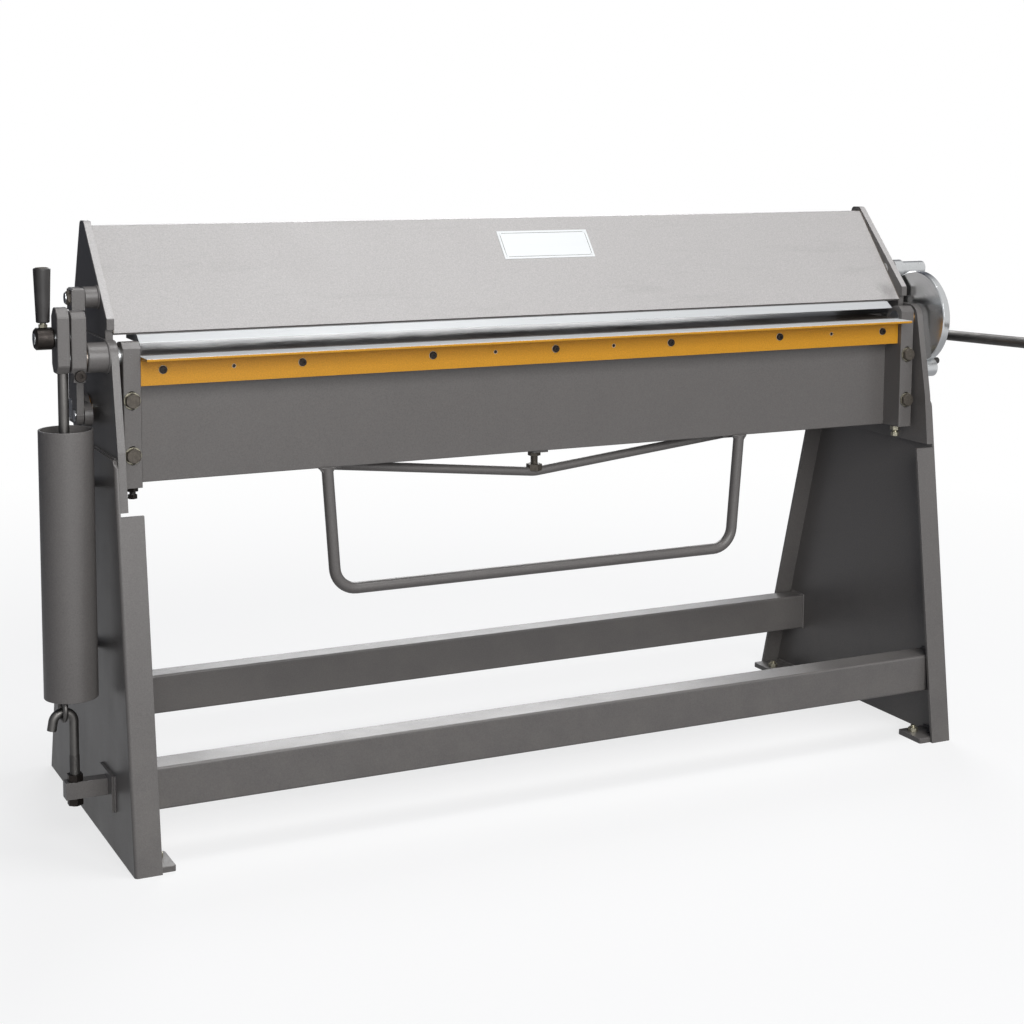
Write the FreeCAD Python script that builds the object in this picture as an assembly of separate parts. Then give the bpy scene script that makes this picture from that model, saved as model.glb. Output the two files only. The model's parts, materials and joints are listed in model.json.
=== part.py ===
import FreeCAD, Part
import math
import os

# Manual sheet metal folder: floor standing frame, clamping beam with a lift lever and folding apron.
# Millimetres, +Z up, X along the working length, the operator stands on the -Y side.
# Depths in the named sizes are counted from the front line of the feet, and moved to the frame's
# origin, midway between the four anchor holes on the floor, when each piece is written out.
# Most sizes are given for the right-hand side; pieces on the left are mirrored or take -X.

V = FreeCAD.Vector
UP = V(0, 0, 1)
BACKWARD = V(0, 1, 0)
OUTWARD = V(1, 0, 0)

# Driving dimensions
WORK_LENGTH = 1550.0
BED_Z = 842.0
AXIS_Y = 148.5
RUNNING = 0.05
PAST = 1.0

# Widths from the middle, worked out from the working length
HALF_LENGTH = WORK_LENGTH / 2
BLADE_X = HALF_LENGTH - 4
BLOCK_IN = HALF_LENGTH + 1
APRON_X = BLOCK_IN + 30
CHEEK_IN = APRON_X + 2
CHEEK_OUT = CHEEK_IN + 13
HEAD_IN = HALF_LENGTH + 38
WEB_IN = HEAD_IN + 13
WEB_OUT = WEB_IN + 7

# Foot plates with their anchor holes and levelling screws
FOOT_IN = 762.0
FOOT_T = 10.0
FOOT_FRONT = (7.4, 78.0)
FOOT_REAR = (541.0, 608.0)
FOOT_CORNER_R = 4.0
ANCHOR_X = 806.0
ANCHOR_FRONT_Y = 30.0
ANCHOR_REAR_Y = 590.0
ANCHOR_R = 7.0
FEET_MIDDLE = (ANCHOR_FRONT_Y + ANCHOR_REAR_Y) / 2
LEVELLER_X = 781.0
LEVELLER_R = 5.0
LEVELLER_FRONT_Y = 55.0
LEVELLER_REAR_Y = 560.0
LEVELLER_ABOVE = 13.0
LEVELLER_NUT = (17.0, 8.0)

# Legs, folded pans that lean together towards the top
FRONT_LEAN = 0.132
BACK_LEAN = 0.27
LEG_DEPTH = 617.0
LEG_TOP = 677.0
LEG_CORNER = 12.0
FLANGE_EDGE = 787.0
FLANGE_T = 6.0
NOTCH_Z = 585.0
BEND_R = 6.0

# Square tubes between the legs, as (front, back) and (bottom, top)
STRETCHER_R = 4.0
STRETCHER_WALL = 4.0
STRETCHER_FRONT = ((33.0, 90.0), (98.5, 171.0))
STRETCHER_REAR = ((510.0, 556.0), (107.0, 182.0))

# Head plates inside the tops of the legs
HEAD_LOW = 592.0
HEAD_NECK = (90.0, 690.0)
HEAD_BACK = 335.0
HEAD_CORNER_R = 27.0
HEAD_TOP = BED_Z + HEAD_CORNER_R
HEAD_LEDGE = CHEEK_OUT + 0.6
HEAD_STEPS = ((165.0, 862.0), (176.0, BED_Z))
BUSH_R = 19.0
SHAFT_BUSH_R = 21.5
GUIDE_LOW = 780.0
GUIDE_FRONT = 336.0
GUIDE_BACK = 399.0
GUIDE_FOOT_LOW = 700.0
GUIDE_TOP = 862.0

# Bed
BED_FRONT = 197.0
BED_BACK = 330.0
BED_FOOT_BACK = 300.0
BED_LOW = 640.0
BED_WEB_T = 10.0
BED_FLANGE_T = 12.0
BLADE_SEAT = 817.0
BED_BLADE_BACK = 240.0
BED_NOSE = AXIS_Y + 1.1
TABLE_WALL = 6.0

# Cap screws that repeat along the machine
SCREW_PITCH = 245.3
SCREW_XS = [step * SCREW_PITCH for step in range(-3, 4)]
GRUB_XS = (-613.0, -122.0, 122.0, 613.0)
CAP_SCREW_R = 5.0
CAP_HEAD = (8.0, 10.0)
CAP_SOCKET = 8.0
BED_SCREW_Y = 222.0
CLAMP_SCREW_Y = 216.0

# Apron pivot bearings
PIVOT_R = 15.0
PIVOT_TAIL_R = 12.0
PIVOT_BOSS_R = 25.0
PIVOT_BOSS_OUT = 862.0

# Stop disc on the right, with angles counted from +Y upwards
DISC_R = 93.0
DISC_OUT = 843.0
DISC_NOTCH = ((205.0, 262.0), 894.0)
STOP_HOLE_R = 60.0
STOP_HOLES = 4
STOP_HOLE_STEP = 15
STOP_HOLE_DEPTH = 11.0
STOP_PIN_R = 5.0
STOP_ANGLE = 110.0
STOP_KNOB = (6.2, 859.0, 869.0)
DISC_SCREW_R = 50.0
DISC_SCREW_TURNS = (20.0, 260.0, 320.0)
DISC_SCREW = (4.0, 7.0, 8.0)

# Boss with the spring plunger below the disc
LOCK_AT = (118.0, 742.0)
LOCK_R = 18.0
LOCK_OUT = 852.0
PLUNGER_AT = (124.0, 754.0)
PLUNGER_R = 3.0
PLUNGER_KNOB_R = 6.5
PLUNGER_OUT = 870.0

# Lift shaft and its cranks
SHAFT_Y = 283.0
SHAFT_Z = 739.0
SHAFT_R = 17.5
SHAFT_ENDS = (-858.0, 917.0)
CRANK_LENGTH = 55.0
CRANK_DROP = 3.5
CRANK_PIN_R = 10.0
CRANK_EYE_R = 20.0
CRANK_BOSS_R = 26.0
CRANK_LEFT = (836.0, 850.0)
CRANK_LEFT_BOSS = 829.0
CRANK_RIGHT = (846.0, 860.0)
CRANK_PIN_LEFT = (838.0, 864.5)
CRANK_PIN_RIGHT = (848.0, 875.0)
CRANK_SCREW_X = 838.0
PIN_Y = SHAFT_Y - CRANK_LENGTH
PIN_Z = SHAFT_Z - CRANK_DROP

# Pins and links that pull the clamping beam
BEAM_PIN_Z = 934.5
BEAM_PIN_R = 12.0
PIN_END_R = 9.0
PIN_BOSS_R = 18.2
PIN_BOSS_LEFT = 845.8
PIN_BOSS_RIGHT = 847.0
LEFT_PIN_END = 876.0
RIGHT_PIN_END = 903.0
SLEEVE_R = 14.2
SLEEVE = (847.2, 902.0)
SLEEVE_WELD_Z = 926.0
SLEEVE_SCREW_X = 890.0
SLEEVE_SCREW_R = 2.5
LINK_HEAD = (846.0, 868.0)
LINK_HEAD_LOW = 20.5
LINK_HEAD_HIGH = 17.0
LINK_LEFT = (851.0, 863.0)
LINK_RIGHT = (861.5, 874.0)
LINK_LEFT_HALF = 17.5
LINK_RIGHT_HALF = 13.9
LINK_SHOULDER = 6.0
LINK_NUT = (22.5, 6.5)
SLOT_BACK = 5.5
SLOT_R = CRANK_PIN_R + 1.0
LINK_FOOT_R = 16.5

# Lever on the right
LEVER_X = 900.0
LEVER_R = 10.5
LEVER_END_Y = -262.0
LEVER_BEND_Y = 226.0
LEVER_BEND_R = 35.0
LEVER_LEVEL = (128.6, 803.5)
LEVER_SLOPE = 0.0377
LEVER_HUB_R = 27.0
LEVER_HUB = (884.0, 916.0)
LEVER_ROOT = (15.0, 17.1)
LEVER_GRIP_R = 15.0
LEVER_GRIP_LENGTH = 126.0
LEVER_GRIP_CAP = 6.0

# Clamping beam, drawn 20 mm above the bed
BLADE_Z = BED_Z + 20
BLADE_TOP = BLADE_Z + 12.5
BLADE_NOSE = AXIS_Y + 1.6
BLADE_NOSE_T = 0.8
BLADE_BEVEL_Y = 167.0
BLADE_BACK = 235.0
FLOOR_T = 12.0
FLOOR_TOP = BLADE_TOP + FLOOR_T
SHEET_T = 4.0
SHEET_R = 4.0
SLOPE_FOOT = (174.0, 877.5)
RIDGE_FRONT = (315.0, 1049.0)
RIDGE_REAR = (338.0, 1049.0)
BEAM_BACK = 384.0
BEAM_BACK_TOP = 932.0
BEAM_HOLLOW = (300.0, 900.0)
CHEEK_FOOT_Y = 168.0
CHEEK_LOW = 884.0
CHEEK_SKIRT = (178.0, 334.0, 862.0)
CHEEK_FRONT_Z = 902.0
CHEEK_TOP = 1058.0
CHEEK_TOP_Y = (318.0, 343.0)
CHEEK_SHOULDER_Z = 940.0
CHEEK_CORNER_R = 10.0
TAIL_FRONT = 345.0
TAIL_BACK = 390.0
TAIL_LOW = 810.0
RIB_XS = [step * SCREW_PITCH for step in (-2.5, -0.5, 0.5, 2.5)]
RIB_HALF = 4.0
RIB_HOLE = (300.0, 935.0, 25.0)
RIB_OUTLINE = [(212, FLOOR_TOP), (320, 1030), (332, 1030), (372, 930), (372, FLOOR_TOP)]

# Bare rating plate on the slope
LABEL_X = 50.5
LABEL_SIZE = (191.0, 64.0)
LABEL_T = 1.0
LABEL_MIDDLE = 0.714
RIVET_IN = 6.0
RIVET_R = 1.5
RIVET_HEAD = (3.0, 1.6, 1.2)
SLOPE = (RIDGE_FRONT[0] - SLOPE_FOOT[0], RIDGE_FRONT[1] - SLOPE_FOOT[1])
SLOPE_LENGTH = math.hypot(*SLOPE)

# Folding apron
APRON_FRONT = 176.0
APRON_BACK = 190.0
APRON_LOW = 622.0
APRON_TOP = 815.0
ANGLE_T = 5.0
ANGLE_FRONT = 134.0
ANGLE_BACK = ANGLE_FRONT + ANGLE_T
ANGLE_REACH = 89.0
ANGLE_LOW = 792.0
ANGLE_SCREW_Z = 818.0
ANGLE_SCREW = (4.0, 6.5, 4.5, 30.0)
GRUB = (3.0, 14.4)
BLOCK_R = 24.5
BLOCK_FRONT = 124.0
BLOCK_CHAMFER = 10.0
BOLT_X = 792.0
BOLT_ZS = (770.0, 678.0)
BOLT_R = 6.0
BOLT_SLOT_R = 7.5
BOLT_SLOT_RUN = 17.0
BOLT_HEAD = (24.0, 7.0)
BOLT_LENGTH = 67.0
WASHER = (14.2, 2.5)
ADJUSTER_X = 787.0
ADJUSTER_Y = 150.0
ADJUSTER_R = 5.0
ADJUSTER_LOW = 603.0
ADJUSTER_IN = 28.0
ADJUSTER_HEAD = (14.0, 7.0)
ADJUSTER_NUT = (17.0, 8.0)

# Truss rod behind the lower edge of the apron, and the pull handle below it
TRUSS_Y = 218.0
TRUSS_X = 430.0
TRUSS_R = 8.5
TRUSS_MID_Z = 575.3
TRUSS_END_Z = 620.5
TRUSS_BEND_R = 60.0
TRUSS_PAD = (30.0, 616.0, 634.0)
TRUSS_SCREW_R = 6.5
TRUSS_SADDLE = (26.0, 578.0, 12.5)
TRUSS_NUT = (21.0, 606.5, 9.5)
TRUSS_LUG = (15.0, 232.0, 616.0, 636.0)
HANDLE_X = (430.0, 413.9)
HANDLE_Y = 178.0
HANDLE_R = 10.5
HANDLE_Z = 399.2
HANDLE_BEND_R = 42.0
HANDLE_TOE = (15.0, 14.0, 5.0)

# Stop arm on the right end of the apron
STOP_ARM = (845.0, 857.0)
STOP_ARM_R = 22.0
STOP_ARM_REACH = 66.0
STOP_ARM_HALF = 8.0
STOP_ARM_TURN = 34

# Spring balance on the left
STUD_Z = BED_Z + 35.0
STUD_R = 9.0
STUD_END = 946.0
STUD_IN = 6.0
ARM_IN = 864.2
ARM_OUT = 889.0
ARM_OUTLINE = [(133, 819), (127, 828), (127, 911), (137, 920),
               (165, 920), (175, 910), (175, 828), (169, 819)]
CLAMP_X = 875.0
CLAMP_Z = 814.0
CLAMP_BLOCK = ((866.0, 885.0), (133.0, 164.0), (804.0, 821.0))
CLAMP_SCREW = (4.0, 9.5, 7.0, 30.0)
EYE_IN = 891.5
EYE_OUT = 912.0
EYE_OUTLINE = [(137, 819), (127, 832), (127, 912), (141, 927),
               (156, 927), (170, 912), (170, 832), (160, 819)]
ROD_X = 899.5
ROD_R = 8.75
ROD_EYE_Z = 600.0
HUB_IN = 914.0
HUB_OUT = 944.5
HUB_R = 18.3
HUB_CHAMFER = 3.0
GRIP_X = 930.0
GRIP_SEAT = 12.0
GRIP_STEM_R = 5.0
GRIP_NUT = (13.0, 5.0)
GRIP_LOW = 903.0
GRIP_TOP = 992.0
GRIP_RADII = (11.0, 14.2)
GRIP_IN = 24.0
TUBE_X = 895.0
TUBE_Y = 157.0
TUBE_R = 45.0
TUBE_WALL = 3.0
TUBE_LOW = 272.0
TUBE_TOP = 724.4
LUG_ZS = (330.0, 610.0)
LUG_OUTLINE = [(-898.0, 196.0), (-862.0, 186.0), (-WEB_OUT, 238.0), (-WEB_OUT, 268.0)]
LUG_RISE = 12.0
HOOK_X = 908.7
HOOK_Y = 160.0
HOOK_BEND = 17.4
HOOK_BEND_Z = 228.0
HOOK_LOW = 82.0
HOOK_FLARE = 10.0
HOOK_TAIL = 15.0
HOOK_WIRE = 8.0
HOOK_ROD_X = HOOK_X - HOOK_BEND
HOOK_NUT = (24.0, 12.0)
HOOK_NUT_ZS = (125.0, 84.0)
BRACKET_OUT = 909.0
BRACKET_ARM = (148.0, 172.0, 96.0, 125.0)
BRACKET_PLATE = (120.0, 200.0, 74.0, 136.0)
SPRING_R = 29.0
SPRING_INNER = 20.0
SPRING_LOW = 292.0
SPRING_HIGH = 562.0
LOOP_WIRE = 4.5
LOWER_LOOP = (20.0, 252.4)
UPPER_LOOP_R = 16.0


def box(x0, x1, y0, y1, z0, z1):
    return Part.makeBox(x1 - x0, y1 - y0, z1 - z0, V(x0, y0, z0))


def rod_x(y, z, radius, x0, x1):
    return Part.makeCylinder(radius, x1 - x0, V(x0, y, z), OUTWARD)


def rod_y(x, z, radius, y0, y1):
    return Part.makeCylinder(radius, y1 - y0, V(x, y0, z), BACKWARD)


def rod_z(x, y, radius, z0, z1):
    return Part.makeCylinder(radius, z1 - z0, V(x, y, z0), UP)


def ring_x(y, z, outer, inner, x0, x1):
    return rod_x(y, z, outer, x0, x1).cut(rod_x(y, z, inner, x0 - PAST, x1 + PAST))


def slot_x(y, z, radius, run, x0, x1):
    """A round ended bar along X, whose section runs backwards from (y, z)."""
    return joined(rod_x(y, z, radius, x0, x1), rod_x(y + run, z, radius, x0, x1),
                  box(x0, x1, y, y + run, z - radius, z + radius))


def slot_y(x, z, radius, run, y0, y1):
    """A round ended bar along Y, whose section is run taller than it is wide."""
    half = run / 2
    return joined(rod_y(x, z - half, radius, y0, y1), rod_y(x, z + half, radius, y0, y1),
                  box(x - radius, x + radius, y0, y1, z - half, z + half))


def prism(outline, x0, x1):
    """A profile of (y, z) points, pushed along X."""
    points = [V(x0, y, z) for y, z in outline]
    face = Part.Face(Part.makePolygon(points + points[:1]))
    return face.extrude(V(x1 - x0, 0, 0))


def hexagon(centre, axis, across_flats, height):
    """A hexagonal prism from centre along a unit axis, with two flats square to Z or Y."""
    radius = across_flats / math.sqrt(3)
    side = UP if abs(axis.z) < 0.5 else BACKWARD
    other = axis.cross(side)
    corners = []
    for step in range(6):
        turn = math.radians(60 * step)
        corners.append(centre + side * (radius * math.cos(turn)) + other * (radius * math.sin(turn)))
    face = Part.Face(Part.makePolygon(corners + corners[:1]))
    return face.extrude(axis * height)


def eased(shape, size=1.0):
    """Every edge broken by a small chamfer."""
    return shape.makeChamfer(size, shape.Edges)


def edges_where(shape, test):
    return [edge for edge in shape.Edges if all(test(vertex.Point) for vertex in edge.Vertexes)]


def closed_edges(shape):
    return [edge for edge in shape.Edges if len(edge.Vertexes) == 1]


def joined(first, *others):
    return first.fuse(list(others)).removeSplitter()


def mirrored(shape):
    return shape.mirror(V(0, 0, 0), OUTWARD)


def both(shape):
    return [shape, mirrored(shape)]


def swept(path, radius):
    """A round bar along a wire."""
    start = path.OrderedVertexes[0].Point
    first = path.OrderedEdges[0]
    tangent = first.tangentAt(first.FirstParameter)
    ring = Part.Wire(Part.makeCircle(radius, start, tangent))
    return path.makePipeShell([ring], True, True)


def bent_path(points, radius):
    """Straight runs through the points, with each corner rounded."""
    edges = []
    last = points[0]
    for here, after in zip(points[1:-1], points[2:]):
        before = (last - here).normalize()
        ahead = (after - here).normalize()
        turn = math.pi - before.getAngle(ahead)
        cut = radius * math.tan(turn / 2)
        start = here + before * cut
        end = here + ahead * cut
        inward = (before + ahead).normalize()
        middle = here + inward * (radius / math.cos(turn / 2) - radius)
        edges.append(Part.LineSegment(last, start).toShape())
        edges.append(Part.Arc(start, middle, end).toShape())
        last = end
    edges.append(Part.LineSegment(last, points[-1]).toShape())
    return Part.Wire(edges)


def socket_screw(centre, axis, head_r, head_t, shank_r, shank_length, socket):
    """A cap screw whose head stands on centre, against the axis, and whose shank runs along it."""
    head = Part.makeCylinder(head_r, head_t, centre - axis * head_t, axis)
    rim = [edge for edge in closed_edges(head) if (edge.CenterOfMass - centre).dot(axis) < -head_t + 0.01]
    head = head.makeChamfer(head_r * 0.1, rim)
    shank = Part.makeCylinder(shank_r, shank_length, centre, axis)
    recess = hexagon(centre - axis * head_t, axis, socket, head_t * 0.6)
    return joined(head, shank).cut(recess)


def hex_screw(centre, axis, across_flats, head_t, shank_r, shank_length):
    """A hexagon head screw, the head standing on centre against the axis."""
    head = hexagon(centre - axis * head_t, axis, across_flats, head_t)
    dome = Part.makeCone(across_flats * 0.46, across_flats * 0.64, head_t, centre - axis * head_t, axis)
    shank = Part.makeCylinder(shank_r, shank_length, centre, axis)
    return joined(head.common(dome), shank)


def save(name, pieces):
    """One STEP file for a node, with its pieces moved to the frame's origin."""
    moved = []
    for piece in pieces:
        for solid in piece.Solids:
            copy = solid.copy()
            copy.translate(V(0, -FEET_MIDDLE, 0))
            moved.append(copy)
            if not copy.isValid() or copy.Volume <= 0:
                print("CHECK", name, copy.isValid(), copy.Volume)
    shape = moved[0] if len(moved) == 1 else Part.makeCompound(moved)
    shape.exportStep(os.path.join("parts", name + ".step"))
    print(name, len(moved), round(sum(solid.Volume for solid in moved) / 1000, 1), "cm3")


def front_line(z):
    return FRONT_LEAN * z


def back_line(z):
    return LEG_DEPTH - BACK_LEAN * z


# Floor frame
def leg():
    """Folded pan: a web outside, a flange turned inward at the front and the back."""
    outline = [(front_line(0), 0), (front_line(LEG_TOP - LEG_CORNER), LEG_TOP - LEG_CORNER)]
    outline.append((front_line(LEG_TOP) + LEG_CORNER * 0.7, LEG_TOP))
    outline.append((back_line(LEG_TOP), LEG_TOP))
    outline.append((back_line(0), 0))
    pan = prism(outline, FLANGE_EDGE, WEB_OUT)
    long_edges = [edge for edge in pan.Edges if edge.Length > 600]
    bends = [edge for edge in long_edges if edge.CenterOfMass.x > WEB_OUT - 0.1]
    bends = [edge for edge in bends if abs(edge.tangentAt(0).z) > 0.9]
    pan = pan.makeFillet(BEND_R, bends)
    low, high = -PAST, LEG_TOP + PAST
    pocket = [(front_line(low) + FLANGE_T, low), (front_line(high) + FLANGE_T, high)]
    pocket += [(back_line(high) - FLANGE_T, high), (back_line(low) - FLANGE_T, low)]
    pan = pan.cut(prism(pocket, FLANGE_EDGE - PAST, WEB_IN))
    notch_back = front_line(LEG_TOP) + FLANGE_T + 5
    return pan.cut(box(FLANGE_EDGE - PAST, WEB_IN, -PAST, notch_back, NOTCH_Z, high))


def foot_plate(depth, hole_y, screw_y):
    plate = box(FOOT_IN, WEB_IN, depth[0], depth[1], 0, FOOT_T)
    free_corners = [edge for edge in plate.Edges if edge.CenterOfMass.x < FOOT_IN + 0.1]
    upright = [edge for edge in free_corners if abs(edge.Length - FOOT_T) < 0.1]
    plate = plate.makeFillet(FOOT_CORNER_R, upright)
    rim = [edge for edge in plate.Edges if edge.CenterOfMass.z > FOOT_T - 0.1]
    plate = plate.makeChamfer(0.8, [edge for edge in rim if edge.CenterOfMass.x < WEB_IN - 1])
    plate = plate.cut(rod_z(ANCHOR_X, hole_y, ANCHOR_R, -PAST, FOOT_T + PAST))
    return plate.cut(rod_z(LEVELLER_X, screw_y, LEVELLER_R + RUNNING, -PAST, FOOT_T + PAST))


def levelling_screw(y):
    """Set screw through a foot plate, with a lock nut on top."""
    screw = rod_z(LEVELLER_X, y, LEVELLER_R, 0.3, FOOT_T + LEVELLER_ABOVE)
    nut = hexagon(V(LEVELLER_X, y, FOOT_T), UP, *LEVELLER_NUT)
    return joined(screw, nut)


def stretcher(depth, height):
    """Square tube between the two webs."""
    tube = box(-WEB_IN, WEB_IN, depth[0], depth[1], height[0], height[1])
    corners = [edge for edge in tube.Edges if edge.Length > WEB_IN]
    tube = tube.makeFillet(STRETCHER_R, corners)
    wall = STRETCHER_WALL
    inside = (depth[0] + wall, depth[1] - wall, height[0] + wall, height[1] - wall)
    return tube.cut(box(-WEB_IN - PAST, WEB_IN + PAST, *inside))


def head_plate():
    """Thick plate inside the web for the bed, the pivot and the shaft, stepped where the cheek comes down."""
    reach = math.hypot(AXIS_Y - HEAD_NECK[0], BED_Z - HEAD_NECK[1])
    angle = math.atan2(BED_Z - HEAD_NECK[1], AXIS_Y - HEAD_NECK[0]) + math.asin(HEAD_CORNER_R / reach)
    run = math.sqrt(reach ** 2 - HEAD_CORNER_R ** 2)
    touch = (HEAD_NECK[0] + run * math.cos(angle), HEAD_NECK[1] + run * math.sin(angle))
    outline = [(front_line(HEAD_LOW) + 0.2, HEAD_LOW), HEAD_NECK, touch, (AXIS_Y, HEAD_TOP)]
    outline += [(HEAD_BACK, HEAD_TOP), (HEAD_BACK, GUIDE_LOW), (GUIDE_BACK, GUIDE_LOW)]
    outline += [(GUIDE_BACK, 650), (BED_BACK, HEAD_LOW)]
    corner = rod_x(AXIS_Y, BED_Z, HEAD_CORNER_R, HEAD_IN, WEB_IN)
    corner = corner.common(box(HEAD_IN, WEB_IN, 100, 200, BED_Z - HEAD_CORNER_R, HEAD_TOP))
    plate = joined(prism(outline, HEAD_IN, WEB_IN), corner)
    for front, low in HEAD_STEPS:
        plate = plate.cut(box(HEAD_IN - PAST, HEAD_LEDGE, front, HEAD_BACK + PAST, low, HEAD_TOP + PAST))
    plate = plate.cut(rod_x(AXIS_Y, BED_Z, BUSH_R, HEAD_IN - PAST, WEB_IN + PAST))
    return plate.cut(rod_x(SHAFT_Y, SHAFT_Z, SHAFT_BUSH_R, HEAD_IN - PAST, WEB_IN + PAST))


def bed_beam():
    """Channel between the head plates, open to the back, with the lift shaft running inside it."""
    web = box(-HEAD_IN, HEAD_IN, BED_FRONT, BED_FRONT + BED_WEB_T, BED_LOW, BLADE_SEAT)
    top = box(-HEAD_IN, HEAD_IN, BED_FRONT, BED_BACK, BLADE_SEAT - BED_FLANGE_T, BLADE_SEAT)
    foot = box(-HEAD_IN, HEAD_IN, BED_FRONT, BED_FOOT_BACK, BED_LOW, BED_LOW + BED_FLANGE_T)
    beam = joined(web, top, foot)
    for x in SCREW_XS:
        hole = rod_z(x, BED_SCREW_Y, CAP_SCREW_R, BLADE_SEAT - BED_FLANGE_T - PAST, BLADE_SEAT + PAST)
        beam = beam.cut(hole)
    return beam


def bed_blade():
    """Ground bed edge with its nose just behind the bending axis."""
    outline = [(BED_NOSE, BED_Z), (BED_BLADE_BACK, BED_Z), (BED_BLADE_BACK, BLADE_SEAT)]
    outline += [(191.5, BLADE_SEAT), (BED_NOSE, BED_Z - 1.2)]
    blade = prism(outline, -HALF_LENGTH, HALF_LENGTH)
    for x in SCREW_XS:
        blade = blade.cut(rod_z(x, BED_SCREW_Y, CAP_SCREW_R, BLADE_SEAT - PAST, BLADE_SEAT + 18))
    return blade


def bed_screws():
    seat = BLADE_SEAT - BED_FLANGE_T
    return [socket_screw(V(x, BED_SCREW_Y, seat), UP, *CAP_HEAD, CAP_SCREW_R, 29.0, CAP_SOCKET)
            for x in SCREW_XS]


def bed_table():
    """Folded table behind the bed blade, level with it, open below."""
    front = BED_BLADE_BACK + 0.5
    top = BED_Z - 0.5
    outer = box(-HEAD_IN, HEAD_IN, front, BED_BACK, BLADE_SEAT, top)
    top_edges = [edge for edge in outer.Edges if edge.Length > HEAD_IN and edge.CenterOfMass.z > top - 0.1]
    outer = outer.makeFillet(3.0, top_edges)
    inside = (front + TABLE_WALL, BED_BACK - TABLE_WALL)
    return outer.cut(box(-HEAD_IN - PAST, HEAD_IN + PAST, inside[0], inside[1], 0, top - TABLE_WALL))


def beam_guide():
    """Block on the head plate with a slot, in which the tail of the clamping beam slides."""
    block = box(CHEEK_IN + 0.6, WEB_OUT, GUIDE_FRONT, GUIDE_BACK, GUIDE_LOW, GUIDE_TOP)
    block = eased(block, 1.5)
    gap = 0.5
    slot = box(800, CHEEK_OUT + gap, TAIL_FRONT - gap, TAIL_BACK + gap, GUIDE_LOW - PAST, GUIDE_TOP + PAST)
    foot = box(WEB_IN - 6, WEB_OUT, GUIDE_FRONT, GUIDE_BACK, GUIDE_FOOT_LOW, GUIDE_LOW + 3)
    foot = foot.cut(box(0, WEB_IN, 0, 500, GUIDE_FOOT_LOW - PAST, GUIDE_LOW))
    return joined(block.cut(slot), foot)


# Bearings of the frame
def apron_bush(end):
    return ring_x(AXIS_Y, BED_Z, BUSH_R, PIVOT_R + RUNNING, HEAD_IN, end)


def shaft_bush():
    return ring_x(SHAFT_Y, SHAFT_Z, SHAFT_BUSH_R, SHAFT_R + RUNNING, HEAD_IN, WEB_IN + 1)


def left_pivot_boss():
    """Turned boss on the left head plate around the apron pivot."""
    boss = ring_x(AXIS_Y, BED_Z, PIVOT_BOSS_R, BUSH_R, WEB_IN, PIVOT_BOSS_OUT)
    outer_edges = [edge for edge in boss.Edges if edge.Length > 150]
    rim = [edge for edge in outer_edges if edge.CenterOfMass.x > PIVOT_BOSS_OUT - 0.1]
    return mirrored(boss.makeChamfer(1.5, rim))


# Stop disc on the right
def around_axis(radius, degrees):
    turn = math.radians(degrees)
    return AXIS_Y + radius * math.cos(turn), BED_Z + radius * math.sin(turn)


def stop_disc():
    """Bright turned disc with index holes, a groove for the plunger and a notch around the beam's pin."""
    disc = rod_x(AXIS_Y, BED_Z, DISC_R, WEB_IN, DISC_OUT)
    disc = disc.makeChamfer(2.0, [edge for edge in disc.Edges if edge.Length > 500])
    disc = disc.cut(rod_x(AXIS_Y, BED_Z, BUSH_R, WEB_IN - PAST, DISC_OUT + PAST))
    (front, back), low = DISC_NOTCH
    disc = disc.cut(box(WEB_IN - PAST, DISC_OUT + PAST, front, back, low, BED_Z + 2 * DISC_R))
    for step in range(STOP_HOLES):
        y, z = around_axis(STOP_HOLE_R, STOP_ANGLE + STOP_HOLE_STEP * step)
        hole = rod_x(y, z, STOP_PIN_R + RUNNING, DISC_OUT - STOP_HOLE_DEPTH, DISC_OUT + PAST)
        disc = disc.cut(hole)
    shank_r, head_r, sink = DISC_SCREW
    for turn in DISC_SCREW_TURNS:
        y, z = around_axis(DISC_SCREW_R, turn)
        disc = disc.cut(rod_x(y, z, shank_r, WEB_IN - PAST, DISC_OUT))
        disc = disc.cut(rod_x(y, z, head_r, DISC_OUT - sink, DISC_OUT + PAST))
    return disc.cut(rod_x(*PLUNGER_AT, PLUNGER_R + RUNNING, WEB_IN + 6, DISC_OUT + PAST))


def disc_screws():
    screws = []
    shank_r, head_r, sink = DISC_SCREW
    for turn in DISC_SCREW_TURNS:
        y, z = around_axis(DISC_SCREW_R, turn)
        centre = V(DISC_OUT - sink, y, z)
        screws.append(socket_screw(centre, -OUTWARD, head_r, sink - 0.5, shank_r, 9.0, 6.0))
    return screws


def index_pin():
    """Pull-out pin in the 90 degree hole, against which the stop arm comes."""
    y, z = around_axis(STOP_HOLE_R, STOP_ANGLE)
    radius, inner, outer = STOP_KNOB
    shank = rod_x(y, z, STOP_PIN_R, DISC_OUT - STOP_HOLE_DEPTH + 1, inner + 4)
    knob = rod_x(y, z, radius, inner, outer)
    return joined(shank, knob.makeChamfer(1.2, closed_edges(knob)))


def parking_boss():
    """Bright boss below the disc that holds the spring plunger."""
    boss = rod_x(*LOCK_AT, LOCK_R, WEB_IN, LOCK_OUT)
    boss = boss.makeChamfer(1.5, [edge for edge in boss.Edges if edge.CenterOfMass.x > LOCK_OUT - 1])
    boss = boss.cut(rod_x(AXIS_Y, BED_Z, DISC_R + 0.2, WEB_IN - PAST, DISC_OUT + 0.2))
    return boss.cut(rod_x(*PLUNGER_AT, PLUNGER_R + RUNNING, WEB_IN + 6, LOCK_OUT + PAST))


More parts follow.
